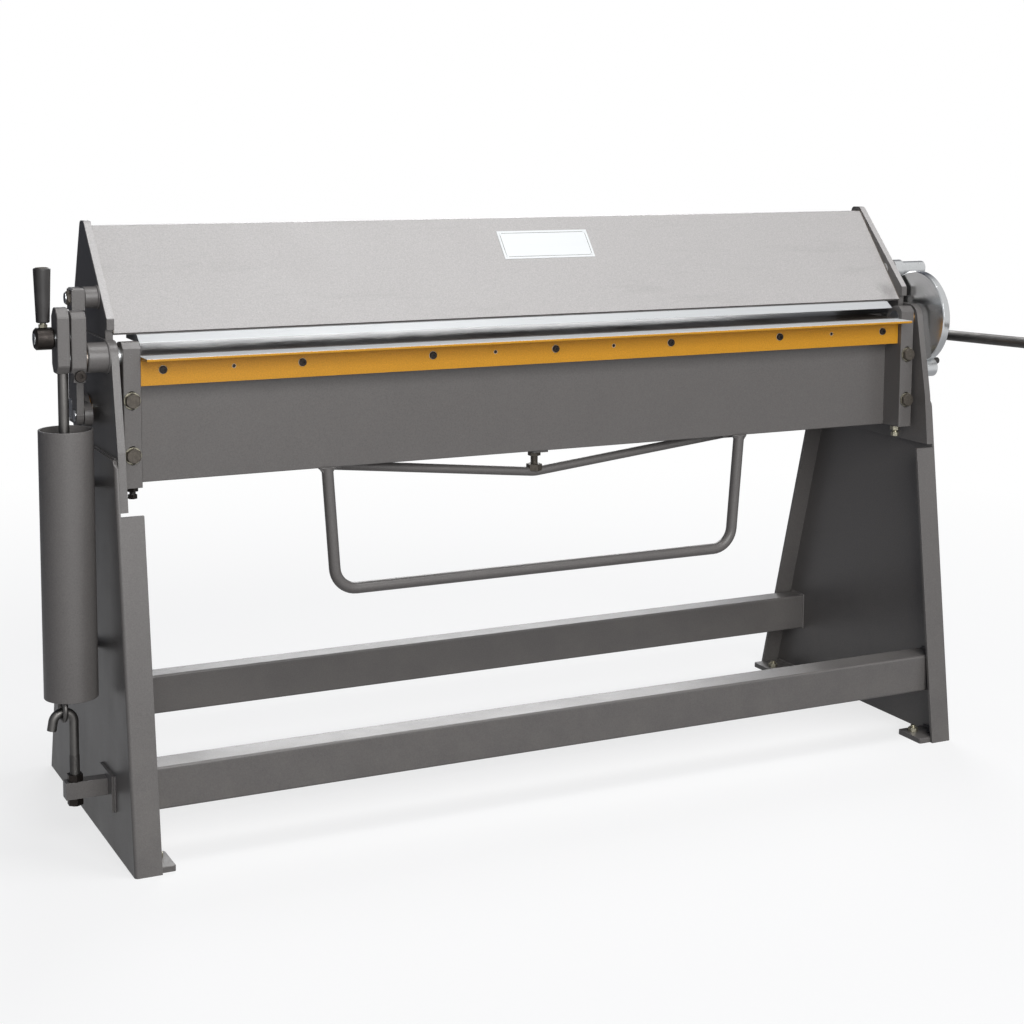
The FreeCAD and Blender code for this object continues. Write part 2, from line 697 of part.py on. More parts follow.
def plunger_pin():
    pin = rod_x(*PLUNGER_AT, PLUNGER_R, WEB_IN + 7, LOCK_OUT + 4)
    knob = rod_x(*PLUNGER_AT, PLUNGER_KNOB_R, LOCK_OUT + 1, PLUNGER_OUT)
    knob = knob.makeFillet(2.5, [edge for edge in knob.Edges if edge.CenterOfMass.x > PLUNGER_OUT - 1])
    return joined(pin, knob)


# Spring balance, the parts fixed to the left leg
def spring_bracket():
    plate = box(WEB_OUT, WEB_OUT + 6, *BRACKET_PLATE)
    arm = box(WEB_OUT, BRACKET_OUT, *BRACKET_ARM)
    bracket = joined(plate, arm)
    return mirrored(bracket.cut(rod_z(HOOK_ROD_X, HOOK_Y, HOOK_WIRE, HOOK_LOW, HOOK_BEND_Z)))


def hook_bolt():
    """J bolt that holds the lower end of the spring, its tail flared outward."""
    low = V(-HOOK_ROD_X, HOOK_Y, HOOK_LOW)
    start = V(-HOOK_ROD_X, HOOK_Y, HOOK_BEND_Z)
    crown = V(-HOOK_X, HOOK_Y, HOOK_BEND_Z + HOOK_BEND)
    flare = math.radians(HOOK_FLARE)
    outward = V(-math.cos(flare), 0, math.sin(flare))
    down = V(-math.sin(flare), 0, -math.cos(flare))
    tail = V(-HOOK_X, HOOK_Y, HOOK_BEND_Z) + outward * HOOK_BEND
    path = Part.Wire([Part.LineSegment(low, start).toShape(),
                      Part.Arc(start, crown, tail).toShape(),
                      Part.LineSegment(tail, tail + down * HOOK_TAIL).toShape()])
    return swept(path, HOOK_WIRE)


def hook_nuts():
    nuts = []
    for z in HOOK_NUT_ZS:
        nut = hexagon(V(-HOOK_ROD_X, HOOK_Y, z), UP, *HOOK_NUT)
        nuts.append(nut.cut(rod_z(-HOOK_ROD_X, HOOK_Y, HOOK_WIRE, z - PAST, z + HOOK_NUT[1] + PAST)))
    return nuts


def spring_tube():
    """Open tube with two flat lugs behind it that carry it on the web of the left leg."""
    tube = rod_z(-TUBE_X, TUBE_Y, TUBE_R, TUBE_LOW, TUBE_TOP)
    tube = tube.cut(rod_z(-TUBE_X, TUBE_Y, TUBE_R - TUBE_WALL, TUBE_LOW - PAST, TUBE_TOP + PAST))
    outer_rims = [edge for edge in closed_edges(tube) if edge.Length > 6.2 * TUBE_R]
    tube = tube.makeFillet(1.0, outer_rims)
    for z in LUG_ZS:
        corners = [V(x, y, z) for x, y in LUG_OUTLINE]
        lug = Part.Face(Part.makePolygon(corners + corners[:1])).extrude(UP * LUG_RISE)
        tube = tube.fuse(lug.cut(rod_z(-TUBE_X, TUBE_Y, TUBE_R - 1, z - PAST, z + LUG_RISE + PAST)))
    return tube.removeSplitter()


def balance_spring():
    """Close wound extension spring inside the tube, with a loop at each end."""
    body = rod_z(-ROD_X, TUBE_Y, SPRING_R, SPRING_LOW, SPRING_HIGH)
    body = body.cut(rod_z(-ROD_X, TUBE_Y, SPRING_INNER, SPRING_LOW + 6, SPRING_HIGH - 6))
    lower_r, lower_z = LOWER_LOOP
    lower = Part.makeTorus(lower_r, LOOP_WIRE, V(-HOOK_X, HOOK_Y, lower_z), OUTWARD)
    neck_low = rod_z(-HOOK_X, HOOK_Y, LOOP_WIRE, lower_z + lower_r, SPRING_LOW + 2)
    upper_z = ROD_EYE_Z - UPPER_LOOP_R
    upper = Part.makeTorus(UPPER_LOOP_R, LOOP_WIRE, V(-ROD_X, AXIS_Y, upper_z), OUTWARD)
    neck_high = rod_z(-ROD_X, AXIS_Y, LOOP_WIRE, SPRING_HIGH - 2, upper_z - UPPER_LOOP_R)
    return joined(body, lower, neck_low, upper, neck_high)


# Folding apron
def apron_plate():
    """Stiffening plate, with a lug at the back for the screw of the truss rod."""
    plate = box(-APRON_X, APRON_X, APRON_FRONT, APRON_BACK, APRON_LOW, APRON_TOP)
    plate = eased(plate, 1.2)
    half, back, low, high = TRUSS_LUG
    lug = joined(box(-half, half, APRON_BACK, back, low, high),
                 box(-half, half, APRON_BACK - 2, APRON_BACK, APRON_LOW + 2, high))
    plate = joined(plate, lug).cut(rod_z(0, TRUSS_Y, TRUSS_SCREW_R, low - PAST, high + PAST))
    for x in (-BOLT_X, BOLT_X):
        for z in BOLT_ZS:
            plate = plate.cut(rod_y(x, z, BOLT_R, APRON_FRONT - PAST, APRON_BACK + PAST))
    return plate


def apron_top_bar():
    """Heavy bar behind the angle, with its back planed away below the bending axis."""
    outline = [(ANGLE_BACK, ANGLE_LOW), (ANGLE_BACK, BED_Z), (AXIS_Y - 0.2, BED_Z)]
    outline += [(APRON_FRONT, APRON_TOP), (APRON_FRONT, ANGLE_LOW)]
    bar = prism(outline, -BLOCK_IN, BLOCK_IN)
    for x in SCREW_XS:
        depth = ANGLE_SCREW[3] - ANGLE_T + PAST
        bar = bar.cut(rod_y(x, ANGLE_SCREW_Z, ANGLE_SCREW[0], ANGLE_BACK - PAST, ANGLE_BACK + depth))
    for x in GRUB_XS:
        bar = bar.cut(rod_y(x, ANGLE_SCREW_Z, GRUB[0], ANGLE_BACK - PAST, ANGLE_BACK + GRUB[1] - 2.4))
    return bar


def folding_angle():
    """Steel angle that bends the sheet, its flat leg ground on top."""
    under = BED_Z - ANGLE_T
    outline = [(ANGLE_FRONT, ANGLE_LOW), (ANGLE_FRONT, under), (ANGLE_REACH, under)]
    outline += [(ANGLE_REACH, BED_Z), (ANGLE_BACK, BED_Z), (ANGLE_BACK, ANGLE_LOW)]
    angle = prism(outline, -HALF_LENGTH, HALF_LENGTH)
    inner = edges_where(angle, lambda p: abs(p.y - ANGLE_FRONT) < 0.1 and abs(p.z - under) < 0.1)
    angle = angle.makeFillet(4.0, inner)
    toes = edges_where(angle, lambda p: abs(p.y - ANGLE_REACH) < 0.1 and p.z < BED_Z - 1)
    angle = angle.makeFillet(2.0, toes)
    for x in SCREW_XS:
        angle = angle.cut(rod_y(x, ANGLE_SCREW_Z, ANGLE_SCREW[0], ANGLE_FRONT - PAST, ANGLE_BACK + PAST))
    for x in GRUB_XS:
        angle = angle.cut(rod_y(x, ANGLE_SCREW_Z, GRUB[0], ANGLE_FRONT - PAST, ANGLE_BACK + PAST))
    return angle


def angle_screws():
    shank_r, head_r, head_t, length = ANGLE_SCREW
    return [socket_screw(V(x, ANGLE_FRONT, ANGLE_SCREW_Z), BACKWARD, head_r, head_t, shank_r, length, 6.0)
            for x in SCREW_XS]


def grub_screws():
    screws = []
    radius, length = GRUB
    for x in GRUB_XS:
        screw = rod_y(x, ANGLE_SCREW_Z, radius, ANGLE_FRONT + 0.6, ANGLE_FRONT + 0.6 + length)
        screws.append(screw.cut(hexagon(V(x, ANGLE_FRONT, ANGLE_SCREW_Z), BACKWARD, 3.0, 3.5)))
    return screws


def end_block():
    """Block at the end of the apron, rounded behind the bending axis, with slots for its bolts."""
    top = BED_Z + BLOCK_R
    low = box(BLOCK_IN, APRON_X, BLOCK_FRONT, APRON_FRONT, APRON_LOW + 1, APRON_TOP)
    neck = box(BLOCK_IN, APRON_X, BLOCK_FRONT, AXIS_Y + BLOCK_R, APRON_TOP - 1, BED_Z)
    outline = [(BLOCK_FRONT, BED_Z), (BLOCK_FRONT, top - BLOCK_CHAMFER), (BLOCK_FRONT + BLOCK_CHAMFER, top)]
    outline += [(AXIS_Y, top), (AXIS_Y, BED_Z)]
    crown = joined(prism(outline, BLOCK_IN, APRON_X), rod_x(AXIS_Y, BED_Z, BLOCK_R, BLOCK_IN, APRON_X))
    block = joined(low, neck, crown)
    sides = [edge for edge in block.Edges if edge.CenterOfMass.y < BLOCK_FRONT + 0.1 and edge.Length > 150]
    block = block.makeChamfer(1.2, sides)
    block = block.cut(rod_x(AXIS_Y, BED_Z, PIVOT_R, BLOCK_IN - PAST, APRON_X + PAST))
    for z in BOLT_ZS:
        slot = slot_y(BOLT_X, z, BOLT_SLOT_R, BOLT_SLOT_RUN, BLOCK_FRONT - PAST, APRON_FRONT + PAST)
        block = block.cut(slot)
    depth = ADJUSTER_IN + 2
    return block.cut(rod_z(ADJUSTER_X, ADJUSTER_Y, ADJUSTER_R, APRON_LOW - PAST, APRON_LOW + depth))


def adjuster():
    """Set screw with a lock nut that raises or lowers the apron at its end block."""
    screw = rod_z(ADJUSTER_X, ADJUSTER_Y, ADJUSTER_R, ADJUSTER_LOW, APRON_LOW + ADJUSTER_IN)
    head = hexagon(V(ADJUSTER_X, ADJUSTER_Y, ADJUSTER_LOW - 2), UP, *ADJUSTER_HEAD)
    nut = hexagon(V(ADJUSTER_X, ADJUSTER_Y, APRON_LOW - 8.5), UP, *ADJUSTER_NUT)
    return joined(screw, head, nut)


def block_bolts():
    seat = BLOCK_FRONT - WASHER[1]
    return [hex_screw(V(x, seat, z), BACKWARD, *BOLT_HEAD, BOLT_R, BOLT_LENGTH)
            for x in (-BOLT_X, BOLT_X) for z in BOLT_ZS]


def block_washers():
    washers = []
    radius, thickness = WASHER
    for x in (-BOLT_X, BOLT_X):
        for z in BOLT_ZS:
            washer = rod_y(x, z, radius, BLOCK_FRONT - thickness, BLOCK_FRONT)
            washers.append(washer.cut(rod_y(x, z, BOLT_R, BLOCK_FRONT - 4, BLOCK_FRONT + PAST)))
    return washers


def truss_bar(radius):
    """Round bar in a shallow V behind the apron's lower edge."""
    path = bent_path([V(-TRUSS_X, TRUSS_Y, TRUSS_END_Z), V(0, TRUSS_Y, TRUSS_MID_Z),
                      V(TRUSS_X, TRUSS_Y, TRUSS_END_Z)], TRUSS_BEND_R)
    return swept(path, radius)


def truss_rod():
    """The bar that is sprung against the apron's sag, with a welded pad at each end."""
    long, low, high = TRUSS_PAD
    pads = [box(x, x + long, APRON_BACK, TRUSS_Y + 4, low, high) for x in (-TRUSS_X, TRUSS_X - long)]
    return joined(truss_bar(TRUSS_R), *pads)


def truss_screw():
    """Screw from the apron's lug to the truss rod, with a lock nut and a saddle over the bar."""
    across, low, height = TRUSS_SADDLE
    saddle = hexagon(V(0, TRUSS_Y, low), UP, across, height)
    screw = rod_z(0, TRUSS_Y, TRUSS_SCREW_R, low, TRUSS_LUG[3] - 2)
    across, low, height = TRUSS_NUT
    nut = hexagon(V(0, TRUSS_Y, low), UP, across, height)
    return joined(screw, saddle, nut).cut(truss_bar(TRUSS_R + RUNNING))


def handle_toe(x):
    """Flat wedge that widens an end of the handle up to the lower edge of the apron."""
    half, drop, thick = HANDLE_TOE
    low = APRON_LOW - drop
    front = HANDLE_Y - thick
    points = [V(x - half, front, APRON_LOW), V(x + half, front, APRON_LOW)]
    points += [V(x + HANDLE_R / 2, front, low), V(x - HANDLE_R / 2, front, low)]
    face = Part.Face(Part.makePolygon(points + points[:1]))
    return face.extrude(BACKWARD * (2 * thick))


def pull_handle():
    """Bent round bar under the apron, with its ends cut level and welded to the plate's lower edge."""
    wide, narrow = HANDLE_X
    top = APRON_LOW + PAST
    path = bent_path([V(-wide, HANDLE_Y, top), V(-narrow, HANDLE_Y, HANDLE_Z),
                      V(narrow, HANDLE_Y, HANDLE_Z), V(wide, HANDLE_Y, top)], HANDLE_BEND_R)
    bar = swept(path, HANDLE_R)
    level = box(-APRON_X, APRON_X, 0, LEG_DEPTH, APRON_LOW, BED_Z)
    return joined(bar, handle_toe(-wide), handle_toe(wide)).cut(level)


def left_pivot_shaft():
    shaft = rod_x(AXIS_Y, BED_Z, PIVOT_R, BLOCK_IN, ARM_IN - 0.3)
    tail = rod_x(AXIS_Y, BED_Z, PIVOT_TAIL_R, ARM_IN - 1, ARM_OUT + 0.5)
    return mirrored(joined(shaft, tail))


def right_pivot_shaft():
    shaft = rod_x(AXIS_Y, BED_Z, PIVOT_R, BLOCK_IN, STOP_ARM[0] - 0.5)
    tail = rod_x(AXIS_Y, BED_Z, PIVOT_TAIL_R, STOP_ARM[0] - 1, STOP_ARM[1] + 2)
    return joined(shaft, tail)


def stop_arm():
    """Arm on the right pivot shaft that sweeps the face of the disc."""
    inner, outer = STOP_ARM
    hub = rod_x(AXIS_Y, BED_Z, STOP_ARM_R, inner, outer)
    tip = AXIS_Y - STOP_ARM_REACH
    arm = box(inner, outer, tip, AXIS_Y, BED_Z - STOP_ARM_HALF, BED_Z + STOP_ARM_HALF)
    tip_edges = edges_where(arm, lambda p: p.y < tip + 1)
    arm = arm.makeFillet(STOP_ARM_HALF - 0.1, [edge for edge in tip_edges if abs(edge.tangentAt(0).x) > 0.9])
    arm.rotate(V(0, AXIS_Y, BED_Z), OUTWARD, STOP_ARM_TURN)
    return joined(hub, arm).cut(rod_x(AXIS_Y, BED_Z, PIVOT_TAIL_R, inner - PAST, outer + PAST))


def balance_arm():
    """Clamp plate on the left pivot shaft; the stud of the spring rod stands on it."""
    arm = eased(prism(ARM_OUTLINE, ARM_IN, ARM_OUT), 1.2)
    (x0, x1), (front, back), (low, high) = CLAMP_BLOCK
    arm = joined(arm, box(x0, x1, front, back, low, high))
    arm = arm.cut(rod_x(AXIS_Y, BED_Z, PIVOT_TAIL_R, ARM_IN - PAST, ARM_OUT + PAST))
    arm = arm.cut(box(ARM_IN - PAST, ARM_OUT + PAST, AXIS_Y - 1, AXIS_Y + 1, low - PAST, BED_Z - 11))
    arm = arm.cut(rod_y(CLAMP_X, CLAMP_Z, CLAMP_SCREW[0], front - PAST, back + PAST))
    arm = arm.cut(rod_y(CLAMP_X, CLAMP_Z, CLAMP_SCREW[1] + 0.3, front - 10, front))
    return mirrored(arm.cut(rod_x(AXIS_Y, STUD_Z, STUD_R, ARM_IN + STUD_IN, ARM_OUT + PAST)))


def arm_clamp_screw():
    """Screw that pinches the slit of the clamp plate on the shaft."""
    shank_r, head_r, head_t, length = CLAMP_SCREW
    centre = V(-CLAMP_X, CLAMP_BLOCK[1][0], CLAMP_Z)
    return socket_screw(centre, BACKWARD, head_r, head_t, shank_r, length, 8.0)


def balance_stud():
    stud = rod_x(AXIS_Y, STUD_Z, STUD_R, ARM_IN + STUD_IN, STUD_END)
    rim = [edge for edge in stud.Edges if edge.CenterOfMass.x > STUD_END - 0.1]
    return mirrored(stud.makeChamfer(1.0, rim))


# Spring rod, hung on the stud
def rod_eye():
    eye = eased(prism(EYE_OUTLINE, EYE_IN, EYE_OUT), 1.2)
    return mirrored(eye.cut(rod_x(AXIS_Y, STUD_Z, STUD_R + RUNNING, EYE_IN - PAST, EYE_OUT + PAST)))


def spring_rod():
    """Rod from the eye down into the tube, with a flattened end that holds the spring's loop."""
    rod = rod_z(-ROD_X, AXIS_Y, ROD_R, ROD_EYE_Z + 14, EYE_OUTLINE[0][1])
    tongue = box(-ROD_X - 8, -ROD_X + 8, AXIS_Y - 4, AXIS_Y + 4, ROD_EYE_Z - 11, ROD_EYE_Z + 18)
    tongue = tongue.cut(rod_y(-ROD_X, ROD_EYE_Z, 6.2, AXIS_Y - 5, AXIS_Y + 5))
    return joined(rod, tongue)


# Clamp handle on the end of the stud
def clamp_hub():
    hub = rod_x(AXIS_Y, STUD_Z, HUB_R, HUB_IN, HUB_OUT)
    hub = hub.makeChamfer(HUB_CHAMFER, closed_edges(hub))
    hub = hub.cut(rod_x(AXIS_Y, STUD_Z, STUD_R + RUNNING, HUB_IN - PAST, HUB_OUT + PAST))
    return mirrored(hub.cut(rod_z(GRIP_X, AXIS_Y, GRIP_STEM_R, STUD_Z + GRIP_SEAT, STUD_Z + HUB_R)))


def grip_stem():
    stem = rod_z(-GRIP_X, AXIS_Y, GRIP_STEM_R, STUD_Z + GRIP_SEAT, GRIP_LOW + GRIP_IN)
    nut = hexagon(V(-GRIP_X, AXIS_Y, STUD_Z + HUB_R), UP, *GRIP_NUT)
    return joined(stem, nut)


def clamp_grip():
    grip = Part.makeCone(*GRIP_RADII, GRIP_TOP - GRIP_LOW, V(-GRIP_X, AXIS_Y, GRIP_LOW), UP)
    grip = grip.makeFillet(2.5, closed_edges(grip))
    return grip.cut(rod_z(-GRIP_X, AXIS_Y, GRIP_STEM_R, GRIP_LOW - PAST, GRIP_LOW + GRIP_IN))


# Clamping beam
def beam_cheek():
    """End plate of the clamping beam, with a skirt inside the head plate and a tail in the guide block."""
    front, back, low = CHEEK_SKIRT
    outline = [(CHEEK_FOOT_Y, CHEEK_LOW), (CHEEK_FOOT_Y, CHEEK_FRONT_Z)]
    outline += [(CHEEK_TOP_Y[0], CHEEK_TOP), (CHEEK_TOP_Y[1], CHEEK_TOP), (TAIL_BACK, CHEEK_SHOULDER_Z)]
    outline += [(TAIL_BACK, TAIL_LOW), (TAIL_FRONT, TAIL_LOW), (TAIL_FRONT, CHEEK_LOW), (back, CHEEK_LOW)]
    outline += [(back, low), (front, low), (front, CHEEK_LOW)]
    plate = prism(outline, CHEEK_IN, CHEEK_OUT)
    tops = edges_where(plate, lambda p: p.z > CHEEK_TOP - 1)
    plate = plate.makeFillet(CHEEK_CORNER_R, [edge for edge in tops if abs(edge.tangentAt(0).x) > 0.9])
    faces = [edge for edge in plate.Edges if edge.CenterOfMass.x > CHEEK_OUT - 0.1]
    plate = plate.makeChamfer(0.8, faces)
    return plate.cut(rod_x(PIN_Y, BEAM_PIN_Z, BEAM_PIN_R, CHEEK_IN - PAST, CHEEK_OUT + PAST))


def folded_sheet(outline, inner_side):
    """Folded sheet: the outline of its outer face, thickened towards inner_side."""
    centre = V(0, inner_side[0], inner_side[1])
    inner = []
    normals = []
    for (ya, za), (yb, zb) in zip(outline[:-1], outline[1:]):
        along = V(0, yb - ya, zb - za).normalize()
        normal = V(0, -along.z, along.y)
        if normal.dot(centre - V(0, ya, za)) < 0:
            normal = normal * -1
        normals.append(normal)
    for place, (y, z) in enumerate(outline):
        before = normals[max(place - 1, 0)]
        after = normals[min(place, len(normals) - 1)]
        mitre = (before + after).normalize()
        shift = mitre * (SHEET_T / mitre.dot(after))
        inner.append((y + shift.y, z + shift.z))
    return prism(outline + inner[::-1], -CHEEK_IN, CHEEK_IN)


def beam_front_sheet():
    sheet = folded_sheet([SLOPE_FOOT, RIDGE_FRONT, RIDGE_REAR], BEAM_HOLLOW)
    low, high = BLADE_Z, CHEEK_TOP + PAST
    sheet = sheet.cut(box(-WEB_OUT, WEB_OUT, 0, BEAM_BACK, low, SLOPE_FOOT[1]))
    sheet = sheet.cut(box(-WEB_OUT, WEB_OUT, RIDGE_REAR[0], LEG_DEPTH, low, high))
    bend = edges_where(sheet, lambda p: abs(p.y - RIDGE_FRONT[0]) < 0.1 and p.z > RIDGE_FRONT[1] - 0.1)
    sheet = sheet.makeFillet(SHEET_R, bend)
    for x, share in label_rivet_places():
        sheet = sheet.cut(rivet_hole(x, share))
    return sheet


def beam_rear_sheet():
    outline = [RIDGE_REAR, (BEAM_BACK, BEAM_BACK_TOP), (BEAM_BACK, FLOOR_TOP)]
    sheet = folded_sheet(outline, BEAM_HOLLOW)
    return sheet.cut(box(-WEB_OUT, WEB_OUT, 0, RIDGE_REAR[0], BLADE_Z, CHEEK_TOP + PAST))


def beam_floor():
    """Thick lower plate of the clamping beam, which carries the clamping blade."""
    slope = SLOPE[0] / SLOPE[1]
    lean = SHEET_T * math.hypot(1, slope)
    low = SLOPE_FOOT[0] + lean - slope * (SLOPE_FOOT[1] - BLADE_TOP)
    outline = [(low, BLADE_TOP), (low + slope * FLOOR_T, FLOOR_TOP)]
    outline += [(BEAM_BACK, FLOOR_TOP), (BEAM_BACK, BLADE_TOP)]
    plate = prism(outline, -CHEEK_IN, CHEEK_IN)
    for x in SCREW_XS:
        plate = plate.cut(rod_z(x, CLAMP_SCREW_Y, CAP_SCREW_R, BLADE_TOP - PAST, FLOOR_TOP + PAST))
    return plate


def clamping_blade():
    """Ground clamping bar with a bevelled nose over the bending axis."""
    outline = [(BLADE_NOSE, BLADE_Z), (BLADE_NOSE, BLADE_Z + BLADE_NOSE_T), (BLADE_BEVEL_Y, BLADE_TOP)]
    outline += [(BLADE_BACK, BLADE_TOP), (BLADE_BACK, BLADE_Z)]
    blade = prism(outline, -BLADE_X, BLADE_X)
    for x in SCREW_XS:
        blade = blade.cut(rod_z(x, CLAMP_SCREW_Y, CAP_SCREW_R, BLADE_TOP - 9, BLADE_TOP + PAST))
    return blade


def clamp_screws():
    return [socket_screw(V(x, CLAMP_SCREW_Y, FLOOR_TOP), -UP, *CAP_HEAD, CAP_SCREW_R, 20.0, CAP_SOCKET)
            for x in SCREW_XS]


def beam_ribs():
    """Stiffening plates welded inside the hollow of the clamping beam."""
    ribs = []
    for x in RIB_XS:
        rib = prism(RIB_OUTLINE, x - RIB_HALF, x + RIB_HALF)
        ribs.append(rib.cut(rod_x(*RIB_HOLE, x - RIB_HALF - PAST, x + RIB_HALF + PAST)))
    return ribs


def on_slope(share, lift):
    """A point on the sloping sheet: share of the way up, and lift off its outer face."""
    normal = (-SLOPE[1] / SLOPE_LENGTH, SLOPE[0] / SLOPE_LENGTH)
    return (SLOPE_FOOT[0] + SLOPE[0] * share + normal[0] * lift,
            SLOPE_FOOT[1] + SLOPE[1] * share + normal[1] * lift)


def slope_normal():
    return V(0, -SLOPE[1] / SLOPE_LENGTH, SLOPE[0] / SLOPE_LENGTH)


def label_rivet_places():
    edge = (LABEL_SIZE[1] / 2 - RIVET_IN) / SLOPE_LENGTH
    wide = LABEL_SIZE[0] / 2 - RIVET_IN
    return [(LABEL_X + side * wide, LABEL_MIDDLE + up * edge) for side in (-1, 1) for up in (-1, 1)]


def rivet_hole(x, share):
    y, z = on_slope(share, -SHEET_T - PAST)
    return Part.makeCylinder(RIVET_R, SHEET_T + 3 * PAST, V(x, y, z), slope_normal())


def label_plate():
    """Plain rating plate, left bare."""
    half = LABEL_SIZE[1] / 2 / SLOPE_LENGTH
    outline = [on_slope(LABEL_MIDDLE - half, 0), on_slope(LABEL_MIDDLE + half, 0)]
    outline += [on_slope(LABEL_MIDDLE + half, LABEL_T), on_slope(LABEL_MIDDLE - half, LABEL_T)]
    plate = prism(outline, LABEL_X - LABEL_SIZE[0] / 2, LABEL_X + LABEL_SIZE[0] / 2)
    for x, share in label_rivet_places():
        plate = plate.cut(rivet_hole(x, share))
    return plate


def label_rivets():
    rivets = []
    wide, narrow, height = RIVET_HEAD
    for x, share in label_rivet_places():
        y, z = on_slope(share, -SHEET_T)
        shank = Part.makeCylinder(RIVET_R, SHEET_T + LABEL_T, V(x, y, z), slope_normal())
        y, z = on_slope(share, LABEL_T)
        head = Part.makeCone(wide, narrow, height, V(x, y, z), slope_normal())
        rivets.append(joined(shank, head))
    return rivets


# Pins and links of the clamping beam
def pin_boss(end):
    """Welded boss on a cheek around the beam pin."""
    boss = ring_x(PIN_Y, BEAM_PIN_Z, PIN_BOSS_R, BEAM_PIN_R, CHEEK_OUT, end)
    rim = [edge for edge in boss.Edges if edge.CenterOfMass.x > end - 0.1 and edge.Length > 100]
    return boss.makeChamfer(1.5, rim)


def link(x0, x1, half, top):
    """Flat link down to the crank pin, where its foot has a slot that clears the pin."""
    strip = box(x0, x1, PIN_Y - half, PIN_Y + half, PIN_Z, top)
    foot = slot_x(PIN_Y, PIN_Z, LINK_FOOT_R, SLOT_BACK, x0, x1)
    return joined(strip, foot).cut(slot_x(PIN_Y, PIN_Z, SLOT_R, SLOT_BACK, x0 - PAST, x1 + PAST))


def left_link():
    """Left link: a strip welded under a thick head, whose top corners are chamfered."""
    low = BEAM_PIN_Z - LINK_HEAD_LOW
    high = BEAM_PIN_Z + LINK_HEAD_HIGH
    head = box(*LINK_HEAD, PIN_Y - LINK_LEFT_HALF, PIN_Y + LINK_LEFT_HALF, low, high)
    head = head.makeChamfer(3.0, edges_where(head, lambda p: p.z > high - 1))
    head = head.cut(rod_x(PIN_Y, BEAM_PIN_Z, BEAM_PIN_R, LINK_HEAD[0] - PAST, LINK_HEAD[1] + PAST))
    return [mirrored(head), mirrored(link(*LINK_LEFT, LINK_LEFT_HALF, low))]


def right_link():
    """Right link: a strip welded under the bright sleeve that fills the pin's length."""
    strip = link(*LINK_RIGHT, LINK_RIGHT_HALF, SLEEVE_WELD_Z)
    upper = edges_where(strip, lambda p: p.z > SLEEVE_WELD_Z - 1)
    strip = strip.makeChamfer(LINK_SHOULDER, [edge for edge in upper if abs(edge.tangentAt(0).x) > 0.9])
    solid = joined(strip, rod_x(PIN_Y, BEAM_PIN_Z, SLEEVE_R, *SLEEVE))
    solid = solid.cut(rod_x(PIN_Y, BEAM_PIN_Z, PIN_END_R, SLEEVE[0] - PAST, SLEEVE[1] + PAST))
    foot, along = sleeve_screw_line()
    return solid.cut(Part.makeCylinder(SLEEVE_SCREW_R, SLEEVE_R, foot, along))


def sleeve_screw_line():
    """Bottom of the sleeve's set screw, and its direction, up to the front at half a right angle."""
    along = V(0, -1, 1).normalize()
    return V(SLEEVE_SCREW_X, PIN_Y, BEAM_PIN_Z) + along * (PIN_END_R + 0.5), along


def left_beam_pin():
    pin = rod_x(PIN_Y, BEAM_PIN_Z, BEAM_PIN_R, CHEEK_IN, LINK_HEAD[1])
    return mirrored(joined(pin, rod_x(PIN_Y, BEAM_PIN_Z, PIN_END_R, LINK_HEAD[1] - PAST, LEFT_PIN_END)))


def left_pin_nut():
    across, thickness = LINK_NUT
    seat = V(LINK_HEAD[1], PIN_Y, BEAM_PIN_Z)
    nut = hexagon(seat, OUTWARD, across, thickness)
    dome = Part.makeCone(across * 0.64, across * 0.46, thickness, seat, OUTWARD)
    hole = rod_x(PIN_Y, BEAM_PIN_Z, PIN_END_R, LINK_HEAD[1] - PAST, LEFT_PIN_END + PAST)
    return mirrored(nut.common(dome).cut(hole))


def right_beam_pin():
    pin = rod_x(PIN_Y, BEAM_PIN_Z, BEAM_PIN_R, CHEEK_IN, PIN_BOSS_RIGHT)
    return joined(pin, rod_x(PIN_Y, BEAM_PIN_Z, PIN_END_R, PIN_BOSS_RIGHT - PAST, RIGHT_PIN_END))


def sleeve_screw():
    foot, along = sleeve_screw_line()
    return Part.makeCylinder(SLEEVE_SCREW_R, SLEEVE_R - PIN_END_R, foot, along)


# Lift shaft with its cranks and lever
def lift_shaft():
    return rod_x(SHAFT_Y, SHAFT_Z, SHAFT_R, *SHAFT_ENDS)


def crank(x0, x1, boss_from):
    """Crank plate, with a round boss on the shaft and an eye around the crank pin."""
    plate = box(x0, x1, PIN_Y, SHAFT_Y, PIN_Z - 17, SHAFT_Z + 15)
    solid = joined(plate, rod_x(SHAFT_Y, SHAFT_Z, CRANK_BOSS_R, boss_from, x1),
                   rod_x(PIN_Y, PIN_Z, CRANK_EYE_R, x0, x1))
    solid = solid.cut(rod_x(SHAFT_Y, SHAFT_Z, SHAFT_R, boss_from - PAST, x1 + PAST))
    return solid.cut(rod_x(PIN_Y, PIN_Z, CRANK_PIN_R, x0 - PAST, x1 + PAST))


def crank_pin(x0, x1):
    return rod_x(PIN_Y, PIN_Z, CRANK_PIN_R, x0, x1)


def crank_set_screw():
    """Set screw in the front of the left crank boss, below the crank's plate."""
    turn = math.radians(-60)
    outward = V(0, -math.cos(turn), math.sin(turn))
    centre = V(-CRANK_SCREW_X, SHAFT_Y, SHAFT_Z) + outward * (CRANK_BOSS_R - 0.4)
    return Part.makeCylinder(3.0, 2.2, centre + outward * 0.5, outward)


def lever_line(y):
    """Height of the lever's axis at a depth."""
    return LEVER_LEVEL[1] + (LEVER_LEVEL[0] - y) * LEVER_SLOPE


